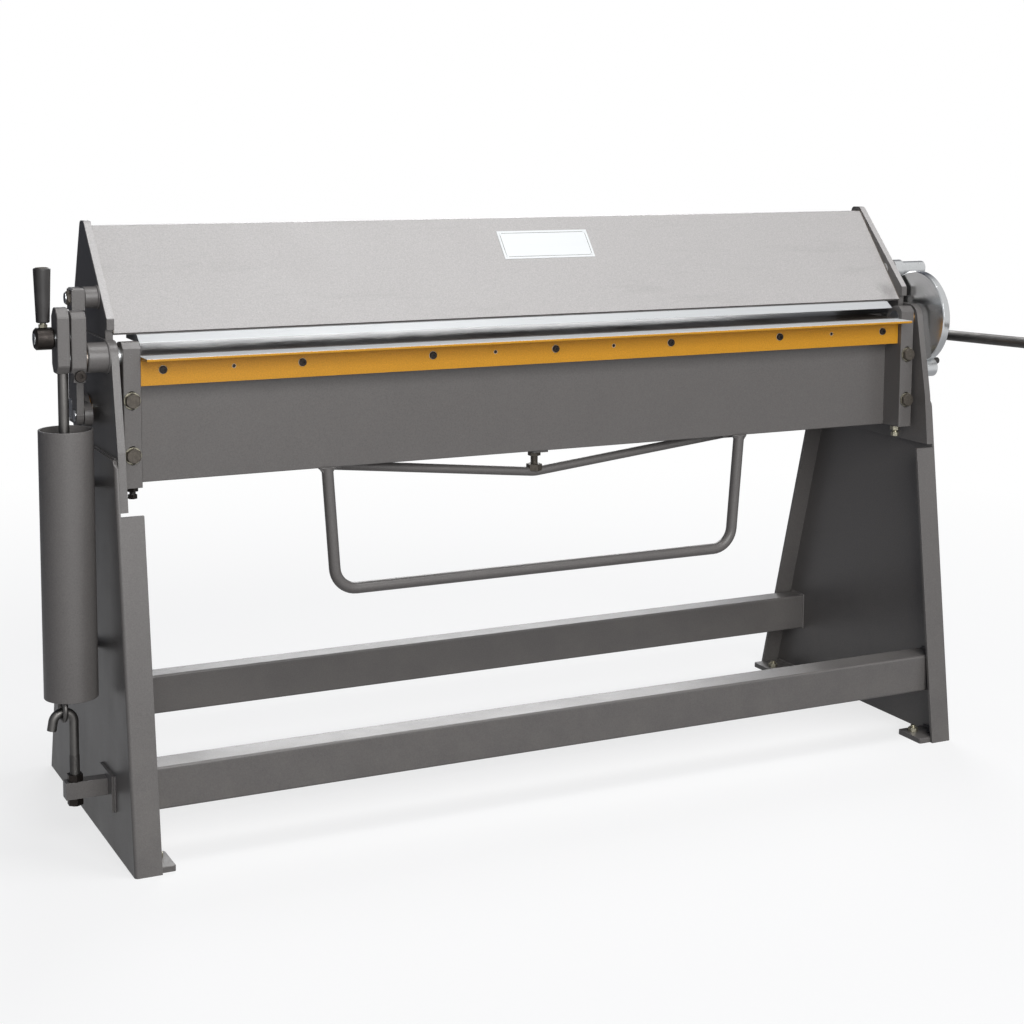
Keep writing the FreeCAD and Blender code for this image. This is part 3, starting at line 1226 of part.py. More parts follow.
def lever_bar_solid():
    root = V(LEVER_X, SHAFT_Y - LEVER_ROOT[0], SHAFT_Z + LEVER_ROOT[1])
    bend = V(LEVER_X, LEVER_BEND_Y, lever_line(LEVER_BEND_Y))
    end = V(LEVER_X, LEVER_END_Y, lever_line(LEVER_END_Y))
    return swept(bent_path([root, bend, end], LEVER_BEND_R), LEVER_R)


def lever_hub():
    hub = rod_x(SHAFT_Y, SHAFT_Z, LEVER_HUB_R, *LEVER_HUB)
    hub = hub.makeChamfer(1.5, closed_edges(hub))
    hub = hub.cut(rod_x(SHAFT_Y, SHAFT_Z, SHAFT_R, LEVER_HUB[0] - PAST, LEVER_HUB[1] + PAST))
    return hub.cut(lever_bar_solid())


def lever_bar():
    return lever_bar_solid().cut(rod_x(SHAFT_Y, SHAFT_Z, SHAFT_R, LEVER_HUB[0] - PAST, LEVER_HUB[1] + PAST))


def lever_grip():
    """Black plastic grip over the end of the lever."""
    end = V(LEVER_X, LEVER_END_Y, lever_line(LEVER_END_Y))
    along = (V(LEVER_X, 0, lever_line(0)) - end).normalize()
    start = end - along * LEVER_GRIP_CAP
    grip = Part.makeCylinder(LEVER_GRIP_R, LEVER_GRIP_LENGTH, start, along)
    grip = grip.makeFillet(4.0, closed_edges(grip))
    return grip.cut(Part.makeCylinder(LEVER_R, LEVER_GRIP_LENGTH, end, along))


os.makedirs("parts", exist_ok=True)

right_leg = leg()
save("right_leg", [right_leg])
save("left_leg", [mirrored(right_leg)])
front_foot = foot_plate(FOOT_FRONT, ANCHOR_FRONT_Y, LEVELLER_FRONT_Y)
rear_foot = foot_plate(FOOT_REAR, ANCHOR_REAR_Y, LEVELLER_REAR_Y)
save("foot_plates", both(front_foot) + both(rear_foot))
front_screw = levelling_screw(LEVELLER_FRONT_Y)
rear_screw = levelling_screw(LEVELLER_REAR_Y)
save("levelling_screws", both(front_screw) + both(rear_screw))
save("front_stretcher", [stretcher(*STRETCHER_FRONT)])
save("rear_stretcher", [stretcher(*STRETCHER_REAR)])
save("head_plates", both(head_plate()))
save("bed_beam", [bed_beam()])
save("bed_blade", [bed_blade()])
save("bed_screws", bed_screws())
save("bed_table", [bed_table()])
save("beam_guides", both(beam_guide()))
save("bearing_bushes", [apron_bush(DISC_OUT), mirrored(apron_bush(PIVOT_BOSS_OUT))] + both(shaft_bush()))
save("left_pivot_boss", [left_pivot_boss()])
save("stop_disc", [stop_disc()])
save("stop_disc_screws", disc_screws())
save("index_pin", [index_pin()])
save("parking_boss", [parking_boss()])
save("plunger_pin", [plunger_pin()])
save("spring_bracket", [spring_bracket()])
save("hook_bolt", [hook_bolt()])
save("hook_bolt_nuts", hook_nuts())
save("spring_tube", [spring_tube()])
save("balance_spring", [balance_spring()])

save("apron_plate", [apron_plate()])
save("apron_top_bar", [apron_top_bar()])
save("folding_angle", [folding_angle()])
save("folding_angle_screws", angle_screws())
save("grub_screws", grub_screws())
save("apron_end_blocks", both(end_block()))
save("block_bolts", block_bolts())
save("block_washers", block_washers())
save("block_adjusters", both(adjuster()))
save("truss_rod", [truss_rod()])
save("truss_screw", [truss_screw()])
save("pull_handle", [pull_handle()])
save("apron_pivot_shafts", [left_pivot_shaft(), right_pivot_shaft()])
save("stop_arm", [stop_arm()])
save("balance_arm", [balance_arm()])
save("balance_stud", [balance_stud(), arm_clamp_screw()])

save("spring_rod", [spring_rod()])
save("spring_rod_eye", [rod_eye()])
save("clamp_handle_hub", [clamp_hub(), grip_stem()])
save("clamp_handle_grip", [clamp_grip()])

save("beam_cheeks", both(beam_cheek()))
save("beam_front_sheet", [beam_front_sheet()])
save("beam_rear_sheet", [beam_rear_sheet()])
save("beam_floor", [beam_floor()])
save("beam_ribs", beam_ribs())
save("clamping_blade", [clamping_blade()])
save("beam_screws", clamp_screws())
save("label_plate", [label_plate()] + label_rivets())
save("lift_links", left_link() + [right_link()])
save("beam_pins", [left_beam_pin(), left_pin_nut(), right_beam_pin(), sleeve_screw()])
save("beam_pin_bosses", [mirrored(pin_boss(PIN_BOSS_LEFT)), pin_boss(PIN_BOSS_RIGHT)])

save("lift_shaft", [lift_shaft()])
left_crank = mirrored(crank(*CRANK_LEFT, CRANK_LEFT_BOSS))
right_crank = crank(*CRANK_RIGHT, CRANK_RIGHT[0])
save("lift_cranks", [left_crank, right_crank, crank_set_screw()])
save("crank_pins", [mirrored(crank_pin(*CRANK_PIN_LEFT)), crank_pin(*CRANK_PIN_RIGHT)])
save("lift_lever", [lever_hub(), lever_bar()])
save("lever_grip", [lever_grip()])
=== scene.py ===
import json
import math

import bmesh
import bpy
from bpy.props import FloatProperty, FloatVectorProperty, PointerProperty
from mathutils import Matrix, Vector


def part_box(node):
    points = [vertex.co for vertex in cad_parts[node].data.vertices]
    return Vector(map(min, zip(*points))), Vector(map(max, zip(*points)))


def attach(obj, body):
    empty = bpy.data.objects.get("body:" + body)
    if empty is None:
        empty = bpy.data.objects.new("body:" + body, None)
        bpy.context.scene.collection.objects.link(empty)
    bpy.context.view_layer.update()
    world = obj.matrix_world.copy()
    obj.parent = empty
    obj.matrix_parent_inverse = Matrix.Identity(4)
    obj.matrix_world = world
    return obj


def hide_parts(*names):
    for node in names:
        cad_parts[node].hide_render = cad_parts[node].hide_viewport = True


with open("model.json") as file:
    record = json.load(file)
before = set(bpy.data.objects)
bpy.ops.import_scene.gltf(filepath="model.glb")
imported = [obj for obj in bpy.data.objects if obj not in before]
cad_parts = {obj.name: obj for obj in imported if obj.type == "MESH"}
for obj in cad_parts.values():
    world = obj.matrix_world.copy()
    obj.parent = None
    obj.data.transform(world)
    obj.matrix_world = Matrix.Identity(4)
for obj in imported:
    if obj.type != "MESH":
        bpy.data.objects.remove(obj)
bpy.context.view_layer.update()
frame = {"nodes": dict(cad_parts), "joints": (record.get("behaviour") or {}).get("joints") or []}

bl_info = {
    "name": "Sheet metal folder",
    "version": (1, 0, 0),
    "blender": (4, 5, 0),
    "location": "View3D > Sidebar > Folder",
    "description": "Finishes, small details and the studio of a manual sheet metal folder",
    "category": "Object",
}

NODES = frame["nodes"]
MM = 0.001
FEET_MIDDLE = 310.0


def joint_place(name):
    """Where a joint's axis lies, as packed."""
    joint = next(joint for joint in frame["joints"] if joint["name"] == name)
    return Vector(joint["pos_m"])


def middle_of(name):
    low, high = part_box(name)
    return (low + high) / 2


def at(x, depth, z):
    """A point from millimetres, with the depth counted from the front line of the feet."""
    return Vector((x, depth - FEET_MIDDLE, z)) * MM


APRON_AXIS = joint_place("apron_turn")
SHAFT_AXIS = joint_place("lift_shaft_turn")
STUD_AXIS = joint_place("clamp_handle_turn")
PIN_AXIS = middle_of("beam_pin_bosses")
BED_Z = APRON_AXIS.z
CHEEK_FOOT_Z = 903 * MM

# Places in millimetres: across, depth from the front line of the feet, and height
SCREW_PITCH = 245.3
SCREW_XS = [step * SCREW_PITCH for step in range(-3, 4)]
GRUB_XS = (-613.0, -122.0, 122.0, 613.0)
LEG_FACE = 825.2
HEAD_FACE = 826.8
BRACKET_FACE = 833.8
TUBE_LUG_LOWS = (330, 610)
TUBE_LUG_RISE = 12
FOOT_TOP = 10.8
APRON_BACK = 190.4
APRON_FOOT = 623
CHEEK_INSIDE = 807.6
HOOD_FOOT = (174, 877.5)
HOOD_RISE = (0, 141.0, 171.5)
SPRING_X = -899.5

# Scales of the tool lines along each axis, and of the lathe lines
GRAIN = 900.0
LINES_ALONG_X = (5.0, GRAIN, GRAIN)
LINES_ALONG_Y = (300.0, 6.0, 300.0)
LINES_ALONG_Z = (300.0, 300.0, 6.0)

# Which pieces take which finish
BODY_PAINT_NODES = (
    "right_leg", "left_leg", "foot_plates", "front_stretcher", "rear_stretcher", "head_plates", "bed_beam",
    "bed_table", "beam_guides", "left_pivot_boss", "spring_bracket", "spring_tube", "apron_plate",
    "apron_top_bar", "apron_end_blocks", "truss_rod", "pull_handle", "balance_arm", "spring_rod_eye",
    "beam_ribs", "beam_floor", "lift_links", "beam_pin_bosses", "lift_cranks", "stop_arm",
)


def tone(value):
    """A linear colour from one written as it looks on a screen, 0 to 255."""
    parts = []
    for part in value:
        share = part / 255
        parts.append(share / 12.92 if share <= 0.04045 else ((share + 0.055) / 1.055) ** 2.4)
    return (*parts, 1.0)


WHITE = (1.0, 1.0, 1.0, 1.0)
RUBBED_PAINT = tone((176, 175, 174))
DUST = tone((140, 136, 128))
RUBBED_CORNER = tone((150, 146, 140))
RUBBED_ORANGE = tone((226, 206, 160))
RUBBED_RING = tone((214, 206, 188))
# The angle's ground top: bare steel, near white as a painted reflection of the bright sky above it
PALE_GROUND_SHEEN = tone((246, 247, 246))
DULL_GROUND_SHEEN = tone((222, 224, 224))
# Darkens the hood's real smears, and also its smudge of painted shade by the right cheek
GREASE_AND_SHADE = tone((104, 102, 100))
LABEL_DULL = tone((205, 207, 207))


def darker(colour, share):
    return tuple(part * share for part in colour[:3]) + (1.0,)


def colour_property(name, description, value):
    return FloatVectorProperty(name=name, description=description, subtype="COLOR", size=4,
                               min=0, max=1, default=tone(value))


class FolderFinishes(bpy.types.PropertyGroup):
    """Colours and grain of the finishes."""

    body: colour_property("Body paint", "Grey hammered paint of the frame and the apron", (100, 97, 95))
    # Painted sheen: the hood's grey is lighter than the body's, standing for the glare its slope catches
    # from above
    slope: colour_property("Hood paint", "Light grey paint of the clamping beam's cover", (174, 171, 169))
    angle: colour_property("Angle paint", "Orange paint of the folding angle", (203, 144, 34))
    bright: colour_property("Bright steel", "Ground and turned steel", (214, 216, 217))
    # Painted shade: the bed blade's steel is darkened for the shadow it lies in under the clamping beam
    shaded_blade: colour_property("Shaded steel", "The bed's edge under the clamping beam", (116, 106, 98))
    drawn: colour_property("Drawn steel", "Dull bars and rods", (112, 110, 108))
    oxide: colour_property("Black oxide", "Cap screws and nuts", (52, 47, 44))
    browned: colour_property("Browned steel", "Bolt heads and the truss screw", (88, 82, 74))
    zinc: colour_property("Yellow zinc", "Plated washers, nuts and set screws", (164, 160, 142))
    seam: colour_property("Seam", "Bare weld between the hood and its cheeks", (112, 103, 95))
    bronze: colour_property("Bronze", "Plain bearings", (168, 128, 78))
    label: colour_property("Label", "Bare rating plate", (226, 228, 228))
    plastic: colour_property("Black plastic", "Grips and knobs", (44, 42, 41))
    hammer: FloatProperty(name="Hammer cell", description="Size of the paint's hammered cells",
                          default=2.6 * MM, min=0.2 * MM, unit="LENGTH")
    edge: FloatProperty(name="Edge radius", description="How far the paint rounds an edge",
                        default=0.9 * MM, min=0, unit="LENGTH")


class FolderDetails(bpy.types.PropertyGroup):
    """Sizes of the small details that Blender adds."""

    bead: FloatProperty(name="Weld bead", description="Radius of the fillet welds",
                        default=2.4 * MM, min=0.5 * MM, unit="LENGTH")
    ripple: FloatProperty(name="Weld ripple", description="Length of one ripple of a weld",
                          default=2.6 * MM, min=0.5 * MM, unit="LENGTH")
    pitch: FloatProperty(name="Thread pitch", description="Pitch of the screw threads that show",
                         default=1.6 * MM, min=0.4 * MM, unit="LENGTH")
    wire: FloatProperty(name="Spring wire", description="Radius of the balance spring's wire",
                        default=4.4 * MM, min=1 * MM, unit="LENGTH")


class FolderStudio(bpy.types.PropertyGroup):
    """Light and floor."""

    key: FloatProperty(name="Front light", description="Level of the light from the front",
                       default=0.77, min=0)
    top: FloatProperty(name="Top light", description="Level of the light from above", default=0.42, min=0)
    back: FloatProperty(name="Back light", description="Level of the light from behind", default=0.45, min=0)
    fill: colour_property("Fill", "Even light from the room", (98, 102, 112))
    dim: colour_property("Dim room", "What bright metal mirrors away from the lights", (62, 66, 78))
    skyline: colour_property("Skyline", "What level faces mirror behind the machine", (158, 160, 166))
    floor: colour_property("Floor", "Pale studio floor", (244, 244, 244))
    bounce: colour_property("Bounce", "How bright the floor is to the object above it", (106, 106, 110))
    bounce_front: colour_property("Front bounce", "How bright the floor in front is to the object",
                                  (190, 190, 190))
    near: FloatProperty(name="Shadow reach", description="How far out the floor still shows its shadow",
                        default=1.3, min=0, unit="LENGTH")
    far: FloatProperty(name="White floor", description="Where the floor has faded to white",
                       default=3.2, min=0, unit="LENGTH")


# Node trees
class Sketch:
    """Short calls that add nodes to a tree and wire them."""

    def __init__(self, tree):
        self.tree = tree

    def add(self, kind, inputs=None, **settings):
        made = self.tree.nodes.new("ShaderNode" + kind)
        for name, value in settings.items():
            setattr(made, name, value)
        for name, value in (inputs or {}).items():
            self.feed(made.inputs[name], value)
        return made

    def feed(self, socket, value):
        if isinstance(value, bpy.types.NodeSocket):
            self.tree.links.new(value, socket)
        else:
            socket.default_value = value

    def maths(self, operation, first, second=0.0):
        return self.add("Math", {0: first, 1: second}, operation=operation).outputs[0]

    def plus(self, first, second):
        return self.maths("ADD", first, second)

    def minus(self, first, second):
        return self.maths("SUBTRACT", first, second)

    def times(self, first, second):
        return self.maths("MULTIPLY", first, second)

    def weighed(self, first, second):
        """The sum of two values, each times its weight."""
        return self.plus(self.times(*first), self.times(*second))

    def place(self):
        """Where a point lies on the object, in metres."""
        return self.add("TexCoord").outputs["Object"]

    def between(self, value, low, high, to_low=0.0, to_high=1.0):
        made = self.add("MapRange", {"Value": value, "From Min": low, "From Max": high,
                                     "To Min": to_low, "To Max": to_high})
        return made.outputs[0]

    def blend(self, share, first, second):
        made = self.add("Mix", {0: share, 6: first, 7: second}, data_type="RGBA")
        return made.outputs[2]

    def blend_value(self, share, first, second):
        return self.add("Mix", {0: share, 2: first, 3: second}, data_type="FLOAT").outputs[0]

    def noise(self, vector, scale, detail=2.0, roughness=0.5):
        made = self.add("TexNoise", {"Vector": vector, "Scale": scale, "Detail": detail,
                                     "Roughness": roughness})
        return made.outputs[0]

    def stretched(self, vector, scale):
        """Coordinates scaled apart along each axis."""
        return self.add("Mapping", {"Vector": vector, "Scale": scale}).outputs[0]


def effect(name, inputs, outputs):
    """An empty shader node group with named sockets, and its two ends."""
    group = bpy.data.node_groups.new(name, "ShaderNodeTree")
    for kind, ends in (("INPUT", inputs), ("OUTPUT", outputs)):
        for title, socket, *default in ends:
            made = group.interface.new_socket(title, in_out=kind, socket_type="NodeSocket" + socket)
            if default:
                made.default_value = default[0]
    entry = group.nodes.new("NodeGroupInput")
    leave = group.nodes.new("NodeGroupOutput")
    return Sketch(group), entry.outputs, leave.inputs


def hammered_effect():
    """Paint that dried in small shallow cells, a little uneven in tone and gloss."""
    sketch, given, out = effect(
        "Hammered paint",
        [("Color", "Color"), ("Cell", "Float", 2.6 * MM), ("Mottle", "Float", 0.12),
         ("Roughness", "Float", 0.5)],
        [("Color", "Color"), ("Roughness", "Float"), ("Height", "Float")])
    place = sketch.place()
    cells = sketch.add("TexVoronoi", {"Vector": place, "Scale": sketch.maths("DIVIDE", 1.0, given["Cell"]),
                                      "Smoothness": 0.6}, feature="SMOOTH_F1").outputs[0]
    grain = sketch.noise(place, 1400.0, 3.0, 0.7)
    patches = sketch.noise(place, 9.0, 4.0, 0.6)
    streaks = sketch.noise(sketch.stretched(place, (18.0, 18.0, 2.5)), 1.0, 3.0)
    mottle = sketch.weighed((patches, 0.6), (streaks, 0.4))
    cell_tone = sketch.weighed((cells, 0.35), (grain, 0.65))
    spread = sketch.times(sketch.minus(mottle, 0.5), given["Mottle"])
    speckle = sketch.minus(sketch.noise(place, 420.0, 2.0, 0.6), 0.5)
    fine = sketch.weighed((sketch.minus(cell_tone, 0.5), 0.25), (speckle, 0.55))
    level = sketch.plus(sketch.plus(spread, fine), 1.0)
    toned = sketch.add("VectorMath", {0: given["Color"], "Scale": level}, operation="SCALE").outputs[0]
    sketch.feed(out["Color"], toned)
    uneven = sketch.times(sketch.minus(mottle, 0.5), 0.25)
    sketch.feed(out["Roughness"], sketch.plus(given["Roughness"], uneven))
    sketch.feed(out["Height"], sketch.weighed((cells, 0.7), (grain, 0.5)))
    return sketch.tree


def edge_effect():
    """Edges rounded by paint or handling, with a mask where they are rubbed."""
    sketch, given, out = effect(
        "Soft edges", [("Radius", "Float", 0.9 * MM), ("Wear", "Float", 0.5)],
        [("Normal", "Vector"), ("Mask", "Float")])
    rounded = sketch.add("Bevel", {"Radius": given["Radius"]}, samples=6).outputs[0]
    flat = sketch.add("NewGeometry").outputs["True Normal"]
    turn = sketch.add("VectorMath", {0: rounded, 1: flat}, operation="DOT_PRODUCT").outputs["Value"]
    place = sketch.place()
    rub = sketch.between(sketch.noise(place, 55.0, 4.0, 0.65), 0.35, 0.65)
    edge = sketch.between(turn, 0.985, 0.82)
    mask = sketch.times(sketch.times(edge, rub), given["Wear"])
    sketch.feed(out["Normal"], rounded)
    sketch.feed(out["Mask"], mask)
    return sketch.tree


def dust_effect():
    """Shop dust that lies thicker near the floor and in patches."""
    sketch, given, out = effect("Shop dust", [("Amount", "Float", 0.3), ("Reach", "Float", 0.35)],
                                [("Mask", "Float")])
    place = sketch.place()
    height = sketch.add("SeparateXYZ", {0: place}).outputs[2]
    nearness = sketch.minus(1.0, sketch.maths("DIVIDE", height, given["Reach"]))
    low = sketch.maths("MAXIMUM", nearness, 0.12)
    patches = sketch.between(sketch.noise(place, 14.0, 5.0, 0.65), 0.38, 0.72)
    sketch.feed(out["Mask"], sketch.times(sketch.times(low, patches), given["Amount"]))
    return sketch.tree


def line_effect():
    """Fine parallel tool lines, with the scale given apart along each axis."""
    sketch, given, out = effect(
        "Tool lines", [("Scale", "Vector", LINES_ALONG_X), ("Depth", "Float", 0.5)],
        [("Value", "Float"), ("Height", "Float")])
    place = sketch.place()
    spread = sketch.add("VectorMath", {0: place, 1: given["Scale"]}, operation="MULTIPLY").outputs[0]
    fine = sketch.noise(spread, 1.0, 4.0, 0.7)
    broad = sketch.noise(spread, 0.08, 2.0)
    value = sketch.weighed((fine, 0.7), (broad, 0.3))
    sketch.feed(out["Value"], value)
    sketch.feed(out["Height"], sketch.times(value, given["Depth"]))
    return sketch.tree


def ring_effect():
    """Lathe lines about an axis along X through a centre."""
    sketch, given, out = effect(
        "Lathe rings", [("Centre", "Vector", (0.0, 0.0, 0.0)), ("Scale", "Float", GRAIN)],
        [("Value", "Float"), ("Height", "Float")])
    place = sketch.place()
    away = sketch.add("VectorMath", {0: place, 1: given["Centre"]}, operation="SUBTRACT").outputs[0]
    flat = sketch.add("VectorMath", {0: away, 1: (0.0, 1.0, 1.0)}, operation="MULTIPLY").outputs[0]
    reach = sketch.add("VectorMath", {0: flat}, operation="LENGTH").outputs["Value"]
    along = sketch.add("SeparateXYZ", {0: place}).outputs[0]
    where = sketch.add("CombineXYZ", {0: reach, 1: along}).outputs[0]
    rings = sketch.noise(where, given["Scale"], 3.0, 0.7)
    smear = sketch.noise(place, 60.0, 4.0, 0.6)
    sketch.feed(out["Value"], sketch.weighed((rings, 0.75), (smear, 0.25)))
    sketch.feed(out["Height"], rings)
    return sketch.tree


class Effects:
    """The shared effects, each built once."""

    made = {}
    makers = {"hammered": hammered_effect, "edges": edge_effect, "dust": dust_effect,
              "lines": line_effect, "rings": ring_effect}

    @classmethod
    def get(cls, name):
        if name not in cls.made:
            cls.made[name] = cls.makers[name]()
        return cls.made[name]


def blank(name):
    """A new material, its sketch and its main shader."""
    material = bpy.data.materials.new(name)
    material.use_nodes = True
    sketch = Sketch(material.node_tree)
    return material, sketch, material.node_tree.nodes["Principled BSDF"]


def placed(sketch, name, inputs=None):
    """A shared effect in a material, with its own values."""
    made = sketch.tree.nodes.new("ShaderNodeGroup")
    made.node_tree = Effects.get(name)
    for title, value in (inputs or {}).items():
        sketch.feed(made.inputs[title], value)
    return made.outputs


def coat(sketch, shader, colour, roughness, height, normal, depth):
    """Feeds a shader's colour, its roughness and a bump of some depth in millimetres."""
    bump = sketch.add("Bump", {"Height": height, "Normal": normal, "Distance": depth * MM, "Strength": 1.0})
    for name, value in (("Base Color", colour), ("Roughness", roughness), ("Normal", bump.outputs[0])):
        sketch.feed(shader.inputs[name], value)


def repaint(material, share, colour_over, sketch):
    """Lays a second colour over a material's own, by a mask."""
    shader = material.node_tree.nodes["Principled BSDF"]
    under = shader.inputs["Base Color"].links[0].from_socket
    sketch.feed(shader.inputs["Base Color"], sketch.blend(share, under, colour_over))
    return material


def finishes():
    return bpy.context.scene.folder_finishes


def details():
    return bpy.context.scene.folder_details


def paint(name, colour, roughness=0.35, wear=0.3, dust=0.2, mottle=0.12, bump=0.12):
    """Grey hammered paint: cells, uneven tone, rubbed edges and some dust."""
    settings = finishes()
    material, sketch, shader = blank(name)
    skin = placed(sketch, "hammered", {"Color": colour, "Cell": settings.hammer, "Mottle": mottle,
                                       "Roughness": roughness})
    edges = placed(sketch, "edges", {"Radius": settings.edge, "Wear": wear})
    grime = placed(sketch, "dust", {"Amount": dust})
    rubbed = sketch.blend(edges["Mask"], skin["Color"], RUBBED_PAINT)
    dusty = sketch.blend(grime["Mask"], rubbed, DUST)
    rough = sketch.plus(skin["Roughness"], sketch.times(grime["Mask"], 0.3))
    coat(sketch, shader, dusty, rough, skin["Height"], edges["Normal"], bump)
    return material


def steel(name, colour, lines=LINES_ALONG_X, centre=None, roughness=0.28, metallic=1.0, tarnish=0.12):
    """Bare steel with tool lines along an axis, or lathe rings about a centre."""
    material, sketch, shader = blank(name)
    if centre is not None:
        marks = placed(sketch, "rings", {"Centre": centre, "Scale": GRAIN})
    else:
        marks = placed(sketch, "lines", {"Scale": lines})
    edges = placed(sketch, "edges", {"Radius": 0.5 * MM, "Wear": 0.0})
    stain = sketch.between(sketch.noise(sketch.place(), 11.0, 5.0, 0.65), 0.45, 0.8)
    shade = sketch.times(stain, tarnish)
    dull = darker(colour, 0.45)
    streaked = sketch.blend(sketch.between(marks["Value"], 0.3, 0.7, 0.0, 0.22), colour, dull)
    rough = sketch.between(marks["Value"], 0.25, 0.75, roughness - 0.08, roughness + 0.1)
    coat(sketch, shader, sketch.blend(shade, streaked, dull), sketch.plus(rough, sketch.times(shade, 0.5)),
         marks["Height"], edges["Normal"], 0.02)
    shader.inputs["Metallic"].default_value = metallic
    return material


def screw_finish(name, colour, metallic=0.75, roughness=0.42):
    """Plated or blackened fastener, rubbed bright on its corners."""
    material, sketch, shader = blank(name)
    edges = placed(sketch, "edges", {"Radius": 0.5 * MM, "Wear": 0.6})
    place = sketch.place()
    stain = sketch.noise(place, 180.0, 4.0, 0.65)
    pits = sketch.noise(place, 1600.0, 2.0)
    base = sketch.blend(sketch.between(stain, 0.35, 0.7), colour, darker(colour, 0.55))
    coat(sketch, shader, sketch.blend(edges["Mask"], base, RUBBED_CORNER),
         sketch.between(stain, 0.3, 0.7, roughness - 0.1, roughness + 0.12), pits, edges["Normal"], 0.03)
    shader.inputs["Metallic"].default_value = metallic
    return material


def plastic_finish(name, colour):
    """Moulded black plastic with a fine skin."""
    material, sketch, shader = blank(name)
    edges = placed(sketch, "edges", {"Radius": 0.5 * MM, "Wear": 0.15})
    place = sketch.place()
    skin = sketch.noise(place, 1800.0, 2.0)
    wipe = sketch.noise(place, 30.0, 4.0, 0.6)
    lighter = tuple(part * 1.6 + 0.01 for part in colour[:3]) + (1.0,)
    wiped = sketch.between(wipe, 0.4, 0.75, 0.0, 0.6)
    coat(sketch, shader, sketch.blend(wiped, colour, lighter),
         sketch.between(wipe, 0.3, 0.7, 0.32, 0.5), skin, edges["Normal"], 0.02)
    return material


def angle_finish():
    """Orange paint, with the top of the flat leg ground bright after painting; that top's near-white is
    partly a painted reflection.
    """
    settings = finishes()
    material, sketch, shader = blank("angle_paint")
    skin = placed(sketch, "hammered", {"Color": settings.angle, "Cell": 1.6 * MM, "Mottle": 0.1,
                                       "Roughness": 0.4})
    marks = placed(sketch, "lines", {"Scale": LINES_ALONG_X})
    edges = placed(sketch, "edges", {"Radius": 0.7 * MM, "Wear": 0.5})
    place = sketch.place()
    height = sketch.add("SeparateXYZ", {0: place}).outputs[2]
    chip = sketch.times(sketch.noise(place, 320.0, 4.0, 0.7), 1.6 * MM)
    bare = sketch.between(sketch.plus(height, chip), BED_Z + 0.25 * MM, BED_Z + 0.45 * MM)
    # Ground top: real bare steel, given near-white colour and little metal as a painted reflection of the
    # sky above
    ground = sketch.blend(sketch.between(marks["Value"], 0.3, 0.7), PALE_GROUND_SHEEN, DULL_GROUND_SHEEN)
    rubbed = sketch.blend(edges["Mask"], skin["Color"], RUBBED_ORANGE)
    coat(sketch, shader, sketch.blend(bare, rubbed, ground),
         sketch.blend_value(bare, skin["Roughness"], 0.35), skin["Height"], edges["Normal"], 0.05)
    sketch.feed(shader.inputs["Metallic"], sketch.times(bare, 0.2))
    shader.inputs["Specular IOR Level"].default_value = 0.35
    return material


def hood_finish():
    """Grey paint lightened into a painted sheen for the glare on the slope, with faint smears and a painted
    shade smudge by the right cheek.
    """
    material = paint("hood_paint", finishes().slope, roughness=0.5, wear=0.2, dust=0.05, mottle=0.07)
    sketch = Sketch(material.node_tree)
    place = sketch.place()
    # Painted shade: a dark smudge on the sheet by the right cheek, near the corner
    smudge_centre = at(786, 186, 893)
    away = sketch.add("VectorMath", {0: place, 1: smudge_centre}, operation="DISTANCE").outputs["Value"]
    ragged = sketch.plus(away, sketch.times(sketch.noise(place, 60.0, 4.0, 0.6), 36 * MM))
    mark = sketch.between(ragged, 48 * MM, 26 * MM, 0.0, 0.42)
    wiped = sketch.noise(sketch.stretched(place, (3.0, 22.0, 22.0)), 1.0, 5.0, 0.65)
    smears = sketch.between(wiped, 0.58, 0.8, 0.0, 0.2)
    return repaint(material, sketch.maths("MAXIMUM", mark, smears), GREASE_AND_SHADE, sketch)


def cheek_finish():
    """Body paint on a cheek's faces, and a painted highlight in the hood's lighter grey on its edge above
    the foot.
    """
    settings = finishes()
    material = paint("cheek_paint", settings.body)
    sketch = Sketch(material.node_tree)
    side = sketch.add("SeparateXYZ", {0: sketch.add("TexCoord").outputs["Normal"]})
    height = sketch.add("SeparateXYZ", {0: sketch.place()}).outputs[2]
    # Painted highlight: faces that do not face sideways, above the foot, take the lighter grey for the glare
    # they catch
    edge = sketch.times(sketch.between(sketch.maths("ABSOLUTE", side.outputs[0]), 0.75, 0.5),
                        sketch.between(height, CHEEK_FOOT_Z - 1 * MM, CHEEK_FOOT_Z + 1 * MM))
    light = placed(sketch, "hammered", {"Color": settings.slope, "Cell": settings.hammer})
    return repaint(material, edge, light["Color"], sketch)


def label_finish():
    """Pale anodised plate with a fine brush along it."""
    material, sketch, shader = blank("label_metal")
    marks = placed(sketch, "lines", {"Scale": (6.0, 1500.0, 1500.0)})
    edges = placed(sketch, "edges", {"Radius": 0.3 * MM, "Wear": 0.0})
    brushed = sketch.between(marks["Value"], 0.3, 0.7, 0.0, 0.3)
    coat(sketch, shader, sketch.blend(brushed, finishes().label, LABEL_DULL),
         sketch.between(marks["Value"], 0.3, 0.7, 0.35, 0.5), marks["Height"], edges["Normal"], 0.01)
    return material


def dress(material, *names):
    """Gives CAD nodes a material."""
    for name in names:
        mesh = NODES[name].data
        mesh.materials.clear()
        mesh.materials.append(material)


def dress_faces(material, name, test):
    """Gives the faces of a CAD node whose middle passes the test another material."""
    mesh = NODES[name].data
    mesh.materials.append(material)
    for face in mesh.polygons:
        if test(face.center):
            face.material_index = len(mesh.materials) - 1


def off_axis(point, axis):
    """Distance of a point from an axis along X."""
    return math.hypot(point.y - axis.y, point.z - axis.z)


